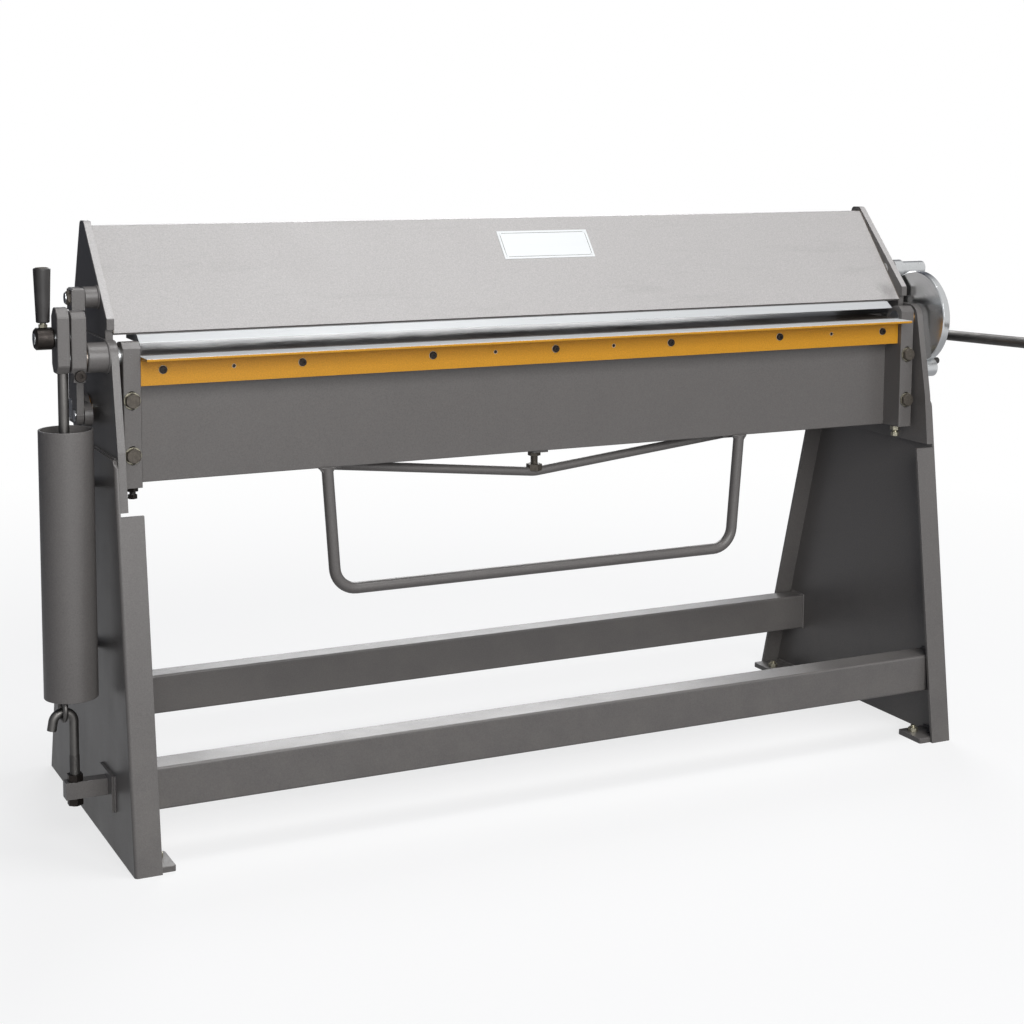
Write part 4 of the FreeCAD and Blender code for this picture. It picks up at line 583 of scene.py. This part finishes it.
# Mesh pieces
def piece(name, mesh_maker, material, body, smooth=True):
    """A new mesh object that rides on a body."""
    shape = bmesh.new()
    mesh_maker(shape)
    bmesh.ops.recalc_face_normals(shape, faces=shape.faces)
    mesh = bpy.data.meshes.new(name)
    shape.to_mesh(mesh)
    shape.free()
    if smooth:
        mesh.shade_smooth()
    mesh.materials.append(material)
    made = bpy.data.objects.new(name, mesh)
    bpy.context.scene.collection.objects.link(made)
    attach(made, body)
    return made


def skin_rings(shape, rings, closed=False, capped=True):
    """Joins rings of points into a tube."""
    made = [[shape.verts.new(point) for point in ring] for ring in rings]
    count = len(made[0])
    pairs = list(zip(made, made[1:]))
    if closed:
        pairs.append((made[-1], made[0]))
    for here, after in pairs:
        for place in range(count):
            beside = (place + 1) % count
            shape.faces.new((here[place], here[beside], after[beside], after[place]))
    if capped and not closed:
        shape.faces.new(made[0])
        shape.faces.new(made[-1])


def round_turns(count):
    """Angles a steady step apart, once round."""
    return [math.tau * step / count for step in range(count)]


def spread_points(points, step, closed=False):
    """Points a steady step apart along straight runs."""
    ends = points + points[:1] if closed else points
    spread = []
    for start, end in zip(ends, ends[1:]):
        count = max(1, round((end - start).length / step))
        spread += [start.lerp(end, place / count) for place in range(count)]
    if not closed:
        spread.append(ends[-1])
    return spread


def tube_rings(points, radii, sides, closed=False):
    """Rings square to a path, carried along it without twist."""
    rings = []
    count = len(points)
    side = None
    for place, point in enumerate(points):
        before = points[place - 1] if closed or place else point
        after = points[(place + 1) % count] if closed or place < count - 1 else point
        along = (after - before).normalized()
        if side is None:
            side = along.orthogonal().normalized()
        side = (side - along * side.dot(along)).normalized()
        other = along.cross(side)
        radius = radii[place % len(radii)]
        rings.append([point + (side * math.cos(turn) + other * math.sin(turn)) * radius
                      for turn in round_turns(sides)])
    return rings


def weld_bead(name, points, body, closed=False, radius=None, material=None):
    """A fillet weld with ripples along straight runs."""
    settings = details()
    size = radius or settings.bead
    steps = 4
    path = spread_points(points, settings.ripple / steps, closed)
    radii = [size * (0.94 + 0.09 * math.cos(turn)) for turn in round_turns(steps)]
    return piece(name, lambda shape: skin_rings(shape, tube_rings(path, radii, 8, closed), closed),
                 material or bpy.data.materials["weld_paint"], body)


def screw_thread(name, base, axis, radius, length, body, material, pitch=None):
    """A helical ridge on a plain shank."""
    turn_pitch = pitch or details().pitch
    along = axis.normalized()
    side = along.orthogonal().normalized()
    other = along.cross(side)
    per_turn = 28
    depth = turn_pitch * 0.34
    flank = turn_pitch * 0.42
    flat = 0.1 * MM
    root = radius - 0.15 * MM
    steps = int(per_turn * length / turn_pitch)
    rings = []
    for step in range(steps + 1):
        turn = math.tau * step / per_turn
        outward = side * math.cos(turn) + other * math.sin(turn)
        middle = base + along * (turn_pitch * step / per_turn)
        crest = depth * min(1.0, step / per_turn, (steps - step) / per_turn)
        inside = middle + outward * root
        outside = middle + outward * (radius + crest)
        rings.append([inside - along * flank, outside - along * flat,
                      outside + along * flat, inside + along * flank])
    return piece(name, lambda shape: skin_rings(shape, rings), material, body)


class FolderOperator(bpy.types.Operator):
    """Shared settings of the operators that build the pieces."""

    bl_options = {"REGISTER", "UNDO"}

    def done(self):
        return {"FINISHED"}


class FOLDER_OT_paint(FolderOperator):
    """Paint the frame, the apron and the clamping beam"""

    bl_idname = "folder.paint"
    bl_label = "Paint the machine"

    def execute(self, context):
        settings = finishes()
        dress(paint("body_paint", settings.body), *BODY_PAINT_NODES)
        dress(hood_finish(), "beam_front_sheet", "beam_rear_sheet")
        dress(cheek_finish(), "beam_cheeks")
        dress(angle_finish(), "folding_angle")
        paint("weld_paint", settings.body, roughness=0.42, wear=0.1, bump=0.05)
        return self.done()


class FOLDER_OT_steel(FolderOperator):
    """Grind and turn the bare steel"""

    bl_idname = "folder.steel"
    bl_label = "Finish the bare steel"

    def execute(self, context):
        settings = finishes()
        bright = tuple(settings.bright)
        drawn = tuple(settings.drawn)
        dress(steel("ground_steel", bright, roughness=0.3, metallic=0.6), "clamping_blade")
        # Painted shade: the bed blade is darkened for the shadow under the clamping beam
        dress(steel("oiled_steel", tuple(settings.shaded_blade), roughness=0.34, metallic=0.7, tarnish=0.5),
              "bed_blade")
        dress(steel("turned_disc", bright, centre=APRON_AXIS, roughness=0.2), "stop_disc")
        dress(steel("turned_pivots", bright, centre=APRON_AXIS, roughness=0.3), "apron_pivot_shafts")
        dress(steel("turned_stud", bright, centre=STUD_AXIS), "balance_stud")
        dress(steel("turned_shaft", bright, centre=SHAFT_AXIS), "lift_shaft")
        for name in ("parking_boss", "crank_pins", "index_pin"):
            dress(steel("turned_" + name, bright, centre=middle_of(name)), name)
        pins = steel("turned_beam_pins", bright, centre=PIN_AXIS)
        dress(pins, "beam_pins")
        sleeve_r = 14.4 * MM
        dress_faces(pins, "lift_links",
                    lambda point: point.x > 0 and off_axis(point, PIN_AXIS) < sleeve_r)
        dress_faces(pins, "beam_pin_bosses", lambda point: point.x > 0)
        dress(steel("drawn_steel", drawn, lines=LINES_ALONG_Z, roughness=0.42, tarnish=0.5),
              "spring_rod", "hook_bolt", "balance_spring")
        dress(steel("drawn_lever", drawn, lines=LINES_ALONG_Y, roughness=0.42, tarnish=0.5), "lift_lever")
        return self.done()


class FOLDER_OT_fasteners(FolderOperator):
    """Finish screws, nuts, bushes, the label and the plastic"""

    bl_idname = "folder.fasteners"
    bl_label = "Finish the small parts"

    def execute(self, context):
        settings = finishes()
        oxide = screw_finish("black_oxide", tuple(settings.oxide))
        browned = screw_finish("browned_steel", tuple(settings.browned), metallic=0.5, roughness=0.5)
        zinc = screw_finish("yellow_zinc", tuple(settings.zinc), metallic=0.7, roughness=0.35)
        dress(oxide, "bed_screws", "stop_disc_screws", "folding_angle_screws", "grub_screws", "beam_screws",
              "hook_bolt_nuts", "clamp_handle_hub")
        dress(browned, "block_bolts", "truss_screw")
        dress(zinc, "block_washers", "block_adjusters", "levelling_screws")
        dress_faces(oxide, "block_adjusters", lambda point: point.x < 0)
        hub_top = STUD_AXIS.z + 18.5 * MM
        dress_faces(zinc, "clamp_handle_hub", lambda point: point.z > hub_top)
        dress_faces(oxide, "balance_stud", lambda point: point.z < APRON_AXIS.z)
        nut_x = -868 * MM
        pin_end_r = 9.3 * MM
        dress_faces(browned, "beam_pins",
                    lambda point: point.x < nut_x and off_axis(point, PIN_AXIS) > pin_end_r)
        dress(steel("bearing_bronze", tuple(settings.bronze), centre=APRON_AXIS), "bearing_bushes")
        dress(label_finish(), "label_plate")
        dress(plastic_finish("black_plastic", tuple(settings.plastic)), "clamp_handle_grip", "lever_grip",
              "plunger_pin")
        return self.done()


# Welds
def rectangle(x, low, high):
    """Corners of a section square to X, from two opposite (depth, height) corners in metres."""
    return [Vector((x, low[0], low[1])), Vector((x, high[0], low[1])),
            Vector((x, high[0], high[1])), Vector((x, low[0], high[1]))]


def circle_x(x, centre, radius, count=64):
    """Points on a circle about an axis along X."""
    return [Vector((x, centre.y + radius * math.cos(turn), centre.z + radius * math.sin(turn)))
            for turn in round_turns(count)]


def mirrored(points):
    return [Vector((-point.x, point.y, point.z)) for point in points]


def weld_pair(name, points, body, closed=False):
    """The same weld on both ends of the machine."""
    weld_bead(name + "_right", points, body, closed)
    weld_bead(name + "_left", mirrored(points), body, closed)


class FOLDER_OT_frame_welds(FolderOperator):
    """Weld the stretchers, the foot plates, the tube and its bracket to the legs"""

    bl_idname = "folder.frame_welds"
    bl_label = "Weld the frame"

    def execute(self, context):
        size = details().bead
        for name in ("front_stretcher", "rear_stretcher"):
            low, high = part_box(name)
            weld_pair("weld_" + name, rectangle(high.x - size * 0.4, low.yz, high.yz), "frame", closed=True)
        for name, front, back in (("weld_front_foot", 16, 77), ("weld_rear_foot", 542, 598)):
            weld_pair(name, [at(LEG_FACE, front, FOOT_TOP), at(LEG_FACE, back, FOOT_TOP)], "frame")
        head_foot = 677.4
        weld_pair("weld_head_plate", [at(HEAD_FACE, 104, head_foot), at(HEAD_FACE, 396, head_foot)], "frame")
        boss_r = 25.2 * MM
        weld_bead("weld_pivot_boss", circle_x(-HEAD_FACE * MM, APRON_AXIS, boss_r), "frame", closed=True)
        for name, depth in (("weld_bracket_front", 119.6), ("weld_bracket_back", 200.4)):
            weld_bead(name, [at(-BRACKET_FACE, depth, 136), at(-BRACKET_FACE, depth, 74)], "frame")
        for number, low in enumerate(TUBE_LUG_LOWS):
            for side, height in (("under", low), ("over", low + TUBE_LUG_RISE)):
                line = [at(-834, 240, height), at(-834, 267, height)]
                weld_bead(f"weld_lug_{number}_{side}", line, "frame")
        return self.done()


class FOLDER_OT_moving_welds(FolderOperator):
    """Weld the handle and the truss rod to the apron, and the bosses, the lever and the cranks"""

    bl_idname = "folder.moving_welds"
    bl_label = "Weld the moving parts"

    def execute(self, context):
        toe = [at(416, 176.2, 622), at(420, 172.6, 621.6), at(440, 172.6, 621.6), at(444, 176.2, 622)]
        weld_pair("weld_handle_toe", toe, "apron")
        weld_pair("weld_handle_back", [at(417, 184, 621.6), at(443, 184, 621.6)], "apron")
        weld_pair("weld_truss_pad", self.three_sides(400, 430, 634), "apron")
        weld_bead("weld_truss_lug", self.three_sides(-15, 15, 636), "apron")
        boss_x, boss_r = 821.6 * MM, 18.3 * MM
        weld_pair("weld_pin_boss", circle_x(boss_x, PIN_AXIS, boss_r), "clamping_beam", closed=True)
        weld_bead("weld_sleeve", [at(861, 219, 921.8), at(861, 237, 921.8)], "clamping_beam")
        weld_bead("weld_link_head", [at(-863.4, 211, 913.6), at(-863.4, 245, 913.6)], "clamping_beam")
        crank_r = 17.7 * MM
        for side, x in (("left", -850.2), ("right", 860.2)):
            weld_bead("weld_crank_" + side, circle_x(x * MM, SHAFT_AXIS, crank_r), "lift_shaft", closed=True)
        self.weld_lever()
        return self.done()

    def three_sides(self, left, right, top):
        """Up, across and down a small plate on the back of the apron."""
        corners = ((left, APRON_FOOT), (left, top), (right, top), (right, APRON_FOOT))
        return [at(x, APRON_BACK, height) for x, height in corners]

    def weld_lever(self):
        """A ring about the lever where it enters its hub."""
        hub_x = 900
        along = (at(hub_x, 226, 799.8) - at(hub_x, 268, 756.1)).normalized()
        side = Vector((1, 0, 0))
        other = along.cross(side)
        middle = at(hub_x, 264.6, 759.6)
        lever_r = 10.8
        ring = [middle + (side * math.cos(turn) + other * math.sin(turn)) * lever_r * MM
                for turn in round_turns(48)]
        weld_bead("weld_lever", ring, "lift_shaft", closed=True)


class FOLDER_OT_hood_seams(FolderOperator):
    """Run the thin bare seams between the hood's sheets and its cheeks"""

    bl_idname = "folder.hood_seams"
    bl_label = "Seam the hood"

    def execute(self, context):
        seam = screw_finish("bare_seam", tuple(finishes().seam), metallic=0.2, roughness=0.6)
        front = [at(CHEEK_INSIDE, depth, height) for depth, height in
                 ((174.6, 877.8), (314.4, 1048.2), (316.6, 1049.4), (337.6, 1049.4))]
        rear = [at(CHEEK_INSIDE, depth, height) for depth, height in
                ((338.4, 1049), (384.4, 932), (384.4, 888))]
        for name, points in (("front", front), ("rear", rear)):
            for side, line in (("right", points), ("left", mirrored(points))):
                weld_bead(f"seam_{name}_{side}", line, "clamping_beam", radius=1.3 * MM, material=seam)
        return self.done()


class FOLDER_OT_threads(FolderOperator):
    """Cut the threads that show on the screws"""

    bl_idname = "folder.threads"
    bl_label = "Cut the threads"

    def execute(self, context):
        look = bpy.data.materials
        up = Vector((0, 0, 1))
        screw_thread("thread_hook_bolt", at(-891.3, 160, 137.5), up, 8 * MM, 34 * MM, "frame",
                     look["drawn_steel"], pitch=2.0 * MM)
        screw_thread("thread_truss_screw", at(0, 218, 591), up, 6.5 * MM, 15 * MM, "apron",
                     look["browned_steel"], pitch=1.75 * MM)
        for side, x, finish in (("left", -787, "black_oxide"), ("right", 787, "yellow_zinc")):
            screw_thread("thread_adjuster_" + side, at(x, 150, 608.2), up, 5 * MM, 5.2 * MM, "apron",
                         look[finish])
        for number, depth in enumerate((55, 560)):
            for side, x in (("left", -781), ("right", 781)):
                screw_thread(f"thread_leveller_{number}_{side}", at(x, depth, 18.2), up, 5 * MM, 4.6 * MM,
                             "frame", look["yellow_zinc"])
        return self.done()


class FOLDER_OT_trims(FolderOperator):
    """Add the label's border, the grip's cap, the punch mark and the rubbed rings of the angle's screws"""

    bl_idname = "folder.trims"
    bl_label = "Add the trims"

    def execute(self, context):
        self.rule_label()
        self.cap_grip()
        self.punch_block()
        self.rub_rings()
        return self.done()

    def rule_label(self):
        """A thin dark frame just inside the label's edge."""
        slope = Vector(HOOD_RISE)
        along = slope.normalized()
        normal = Vector((0, -along.z, along.y))
        label_x, share_up, plate_face = 50.5, 0.714, 1.03
        middle = at(label_x, *HOOD_FOOT) + (slope * share_up + normal * plate_face) * MM
        half_wide, half_tall = 91.0 * MM, 27.5 * MM
        line = 0.9 * MM

        def frame_ring(shape):
            loops = []
            for inset in (0.0, line):
                corners = []
                for across, up in ((-1, -1), (1, -1), (1, 1), (-1, 1)):
                    sideways = Vector((across * (half_wide - inset), 0, 0))
                    corners.append(shape.verts.new(middle + sideways + along * (up * (half_tall - inset))))
                loops.append(corners)
            for place in range(4):
                beside = (place + 1) % 4
                shape.faces.new((loops[0][place], loops[0][beside], loops[1][beside], loops[1][place]))

        piece("label_border", frame_ring, bpy.data.materials["browned_steel"], "clamping_beam",
              smooth=False)

    def cap_grip(self):
        """A raised ring on top of the grip."""
        low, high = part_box("clamp_handle_grip")
        middle = Vector(((low.x + high.x) / 2, (low.y + high.y) / 2, high.z))
        profile = ((7.6, -0.2), (8.0, 0.5), (8.6, 0.9), (10.0, 0.9), (10.6, 0.4), (10.8, -0.6))
        rings = [[middle + Vector((reach * math.cos(turn), reach * math.sin(turn), rise)) * MM
                  for turn in round_turns(48)] for reach, rise in profile]
        piece("grip_cap", lambda shape: skin_rings(shape, rings, capped=False),
              bpy.data.materials["browned_steel"], "clamp_handle")

    def rub_rings(self):
        """Paint rubbed bare in a thin ring around each screw in the angle."""
        rubbed = screw_finish("rubbed_ring", RUBBED_RING, metallic=0.4, roughness=0.4)
        angle_face, screw_line = 133.9, 818
        for kind, spots, radius, wire in (("screw", SCREW_XS, 7.0, 0.55), ("grub", GRUB_XS, 3.4, 0.45)):
            for number, x in enumerate(spots):
                ring = [at(x + radius * math.cos(turn), angle_face, screw_line + radius * math.sin(turn))
                        for turn in round_turns(40)]
                tube = tube_rings(ring, [wire * MM], 6, True)
                piece(f"rubbed_{kind}_{number}", lambda shape, tube=tube: skin_rings(shape, tube, True),
                      rubbed, "apron")

    def punch_block(self):
        """A shallow round punch mark on the front of the left end block."""
        middle = at(-793, 124, 844)
        profile = ((3.4, 0.02), (2.9, 0.22), (2.3, 0.22), (1.9, 0.05), (0.3, 0.03))
        rings = [[middle + Vector((reach * math.cos(turn), -rise, reach * math.sin(turn))) * MM
                  for turn in round_turns(32)] for reach, rise in profile]
        piece("punch_mark", lambda shape: skin_rings(shape, rings, capped=False),
              bpy.data.materials["weld_paint"], "apron")


class FOLDER_OT_balance_coil(FolderOperator):
    """Wind the balance spring that hangs inside the tube, with the loops at its ends"""

    bl_idname = "folder.balance_coil"
    bl_label = "Wind the balance spring"

    def execute(self, context):
        wire = details().wire
        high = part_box("balance_spring")[1]
        per_turn = 20
        lower, lower_r = at(-908.7, 160, 252.4), 20 * MM
        upper, upper_r = Vector((SPRING_X * MM, APRON_AXIS.y, high.z - 20.5 * MM)), 16 * MM
        axis = at(SPRING_X, 157, 0)
        neck_r, coil_r, tail_r = 9.2 * MM, 29 * MM - wire, 2 * MM
        bottom, top = 298 * MM, 556 * MM
        turns = int((top - bottom) / (2.05 * wire))
        points = self.end_loop(lower, lower_r, 112, 450, per_turn)
        points += self.drawn_in(axis, (neck_r, coil_r), (lower.z + lower_r + 6 * MM, bottom))
        for step in range(1, turns * per_turn):
            turn = math.tau * step / per_turn
            height = bottom + (top - bottom) * step / (turns * per_turn)
            points.append(axis + Vector((coil_r * math.cos(turn), coil_r * math.sin(turn), height)))
        points += self.drawn_in(axis, (coil_r, tail_r), (top, upper.z - upper_r - 8 * MM))
        points += self.end_loop(upper, upper_r, -90, 248, per_turn)
        coil = piece("balance_spring_coil",
                     lambda shape: skin_rings(shape, tube_rings(points, [wire], 10)),
                     bpy.data.materials["drawn_steel"], "frame")
        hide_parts("balance_spring")
        return self.done()

    def end_loop(self, centre, radius, start, end, per_turn):
        """A loop square to X, between two angles in degrees."""
        count = round(per_turn * abs(end - start) / 360)
        turns = [math.radians(start + (end - start) * step / count) for step in range(count + 1)]
        return [centre + Vector((0, math.cos(turn), math.sin(turn))) * radius for turn in turns]

    def drawn_in(self, axis, radii, heights):
        """Half a turn in which the wire leaves or joins the coil."""
        count = 10
        points = []
        for step in range(count + 1):
            share = step / count
            turn = math.pi + math.pi * share if radii[0] < radii[1] else math.pi * share
            reach = radii[0] + (radii[1] - radii[0]) * share
            height = heights[0] + (heights[1] - heights[0]) * share
            points.append(axis + Vector((reach * math.cos(turn), reach * math.sin(turn), height)))
        return points


class FOLDER_OT_stage(FolderOperator):
    """Floor, soft lights, room and the camera"""

    bl_idname = "folder.stage"
    bl_label = "Set up the studio"

    def execute(self, context):
        self.lay_floor(context)
        self.hang_lights(context)
        self.light_room(context)
        self.place_camera(context)
        return self.done()

    def lay_floor(self, context):
        """A wide floor that shows the shadow near the machine and fades to white."""
        half_width = 14.0
        shape = bmesh.new()
        bmesh.ops.create_grid(shape, x_segments=4, y_segments=4, size=half_width)
        mesh = bpy.data.meshes.new("floor")
        shape.to_mesh(mesh)
        shape.free()
        floor = bpy.data.objects.new("floor", mesh)
        context.scene.collection.objects.link(floor)
        studio = context.scene.folder_studio
        material, sketch, shader = blank("floor_paper")
        path = sketch.add("LightPath")
        place = sketch.place()
        depth = sketch.add("SeparateXYZ", {0: place}).outputs[1]
        in_front = sketch.between(depth, -0.5, -1.8)
        bounce = sketch.blend(in_front, tuple(studio.bounce), tuple(studio.bounce_front))
        pale = sketch.blend(path.outputs["Is Camera Ray"], bounce, tuple(studio.floor))
        sketch.feed(shader.inputs["Base Color"], pale)
        shader.inputs["Roughness"].default_value = 0.9
        shader.inputs["Specular IOR Level"].default_value = 0.1
        away = sketch.add("VectorMath", {0: place}, operation="LENGTH").outputs["Value"]
        seen = sketch.between(away, studio.near, studio.far, 0.72, 1.0)
        in_steel = sketch.maths("MAXIMUM", sketch.times(in_front, 0.9),
                                sketch.between(away, 1.2, 4.5, 0.42, 0.0))
        share = sketch.weighed((seen, path.outputs["Is Camera Ray"]),
                               (in_steel, path.outputs["Is Glossy Ray"]))
        glow = sketch.add("Emission", {"Color": WHITE, "Strength": 1.0})
        mixed = sketch.add("MixShader", {0: share, 1: shader.outputs[0], 2: glow.outputs[0]})
        out = material.node_tree.nodes["Material Output"]
        sketch.feed(out.inputs["Surface"], mixed.outputs[0])
        mesh.materials.append(material)

    def hang_lights(self, context):
        """Square lamps: name, direction, distance, width and level."""
        studio = context.scene.folder_studio
        lamps = (("front_light", (-0.12, -0.90, 0.36), 6.0, 3.6, studio.key),
                 ("top_light", (0.20, -0.22, 0.95), 4.6, 1.7, studio.top),
                 ("back_light", (0.35, 0.85, 0.45), 6.0, 3.0, studio.back))
        middle = Vector((0.0, 0.0, 0.6))
        for name, way, distance, size, level in lamps:
            lamp = bpy.data.lights.new(name, "AREA")
            lamp.shape = "SQUARE"
            lamp.size = size
            lamp.energy = level * math.pi ** 2 * distance ** 2
            made = bpy.data.objects.new(name, lamp)
            direction = Vector(way).normalized()
            made.location = middle + direction * distance
            made.rotation_euler = direction.to_track_quat("Z", "Y").to_euler()
            context.scene.collection.objects.link(made)

    def light_room(self, context):
        """Even fill, with a bright front and a band above the floor for what steel mirrors."""
        world = bpy.data.worlds.new("studio_room")
        world.use_nodes = True
        context.scene.world = world
        studio = context.scene.folder_studio
        sketch = Sketch(world.node_tree)
        way = sketch.add("TexCoord").outputs["Generated"]
        to_window = (0.3, -0.75, 0.59)
        window = (0.85, 0.85, 0.85, 1.0)
        front = sketch.add("VectorMath", {0: way, 1: to_window}, operation="DOT_PRODUCT").outputs["Value"]
        height = sketch.add("SeparateXYZ", {0: way}).outputs[2]
        above_line = sketch.times(sketch.between(height, 0.04, 0.10), sketch.between(height, 0.42, 0.24))
        behind = sketch.blend(above_line, tuple(studio.dim), tuple(studio.skyline))
        mirrored_room = sketch.blend(sketch.between(front, 0.0, 0.55), behind, window)
        path = sketch.add("LightPath")
        colour = sketch.blend(path.outputs["Is Glossy Ray"], tuple(studio.fill), mirrored_room)
        colour = sketch.blend(path.outputs["Is Camera Ray"], colour, WHITE)
        background = world.node_tree.nodes["Background"]
        sketch.feed(background.inputs["Color"], colour)

    def place_camera(self, context):
        """The photograph's view: where it was taken from, and its lens."""
        camera = bpy.data.cameras.new("photo_camera")
        camera.sensor_width = 36.0
        camera.lens = 67.0906
        camera.shift_x = 0.00178
        camera.shift_y = -0.16332
        camera.clip_end = 60.0
        made = bpy.data.objects.new("photo_camera", camera)
        yaw, pitch, roll = (math.radians(angle) for angle in (-26.0367, 6.7331, 0.3260))
        turn = (Matrix.Rotation(yaw, 4, "Z") @ Matrix.Rotation(math.pi / 2 - pitch, 4, "X")
                @ Matrix.Rotation(roll, 4, "Z"))
        made.matrix_world = Matrix.Translation((-1.60002, -3.26150, 1.23503)) @ turn
        context.scene.collection.objects.link(made)
        context.scene.camera = made
        context.scene.view_settings.view_transform = "Standard"


OPERATORS = (
    FOLDER_OT_paint,
    FOLDER_OT_steel,
    FOLDER_OT_fasteners,
    FOLDER_OT_frame_welds,
    FOLDER_OT_moving_welds,
    FOLDER_OT_hood_seams,
    FOLDER_OT_threads,
    FOLDER_OT_trims,
    FOLDER_OT_balance_coil,
    FOLDER_OT_stage,
)


class FOLDER_PT_panel(bpy.types.Panel):
    """Sidebar panel with the folder's settings and steps."""

    bl_label = "Sheet metal folder"
    bl_space_type = "VIEW_3D"
    bl_region_type = "UI"
    bl_category = "Folder"

    def draw(self, context):
        scene = context.scene
        for settings in (scene.folder_finishes, scene.folder_details, scene.folder_studio):
            box = self.layout.box()
            for name in settings.__annotations__:
                box.prop(settings, name)
        for operator in OPERATORS:
            self.layout.operator(operator.bl_idname)


CLASSES = (FolderFinishes, FolderDetails, FolderStudio) + OPERATORS + (FOLDER_PT_panel,)


def register():
    for listed in CLASSES:
        bpy.utils.register_class(listed)
    bpy.types.Scene.folder_finishes = PointerProperty(type=FolderFinishes)
    bpy.types.Scene.folder_details = PointerProperty(type=FolderDetails)
    bpy.types.Scene.folder_studio = PointerProperty(type=FolderStudio)


def unregister():
    del bpy.types.Scene.folder_studio
    del bpy.types.Scene.folder_details
    del bpy.types.Scene.folder_finishes
    for listed in reversed(CLASSES):
        bpy.utils.unregister_class(listed)


def main():
    register()
    for operator in OPERATORS:
        group, name = operator.bl_idname.split(".")
        getattr(getattr(bpy.ops, group), name)()


if __name__ == "__main__":
    main()
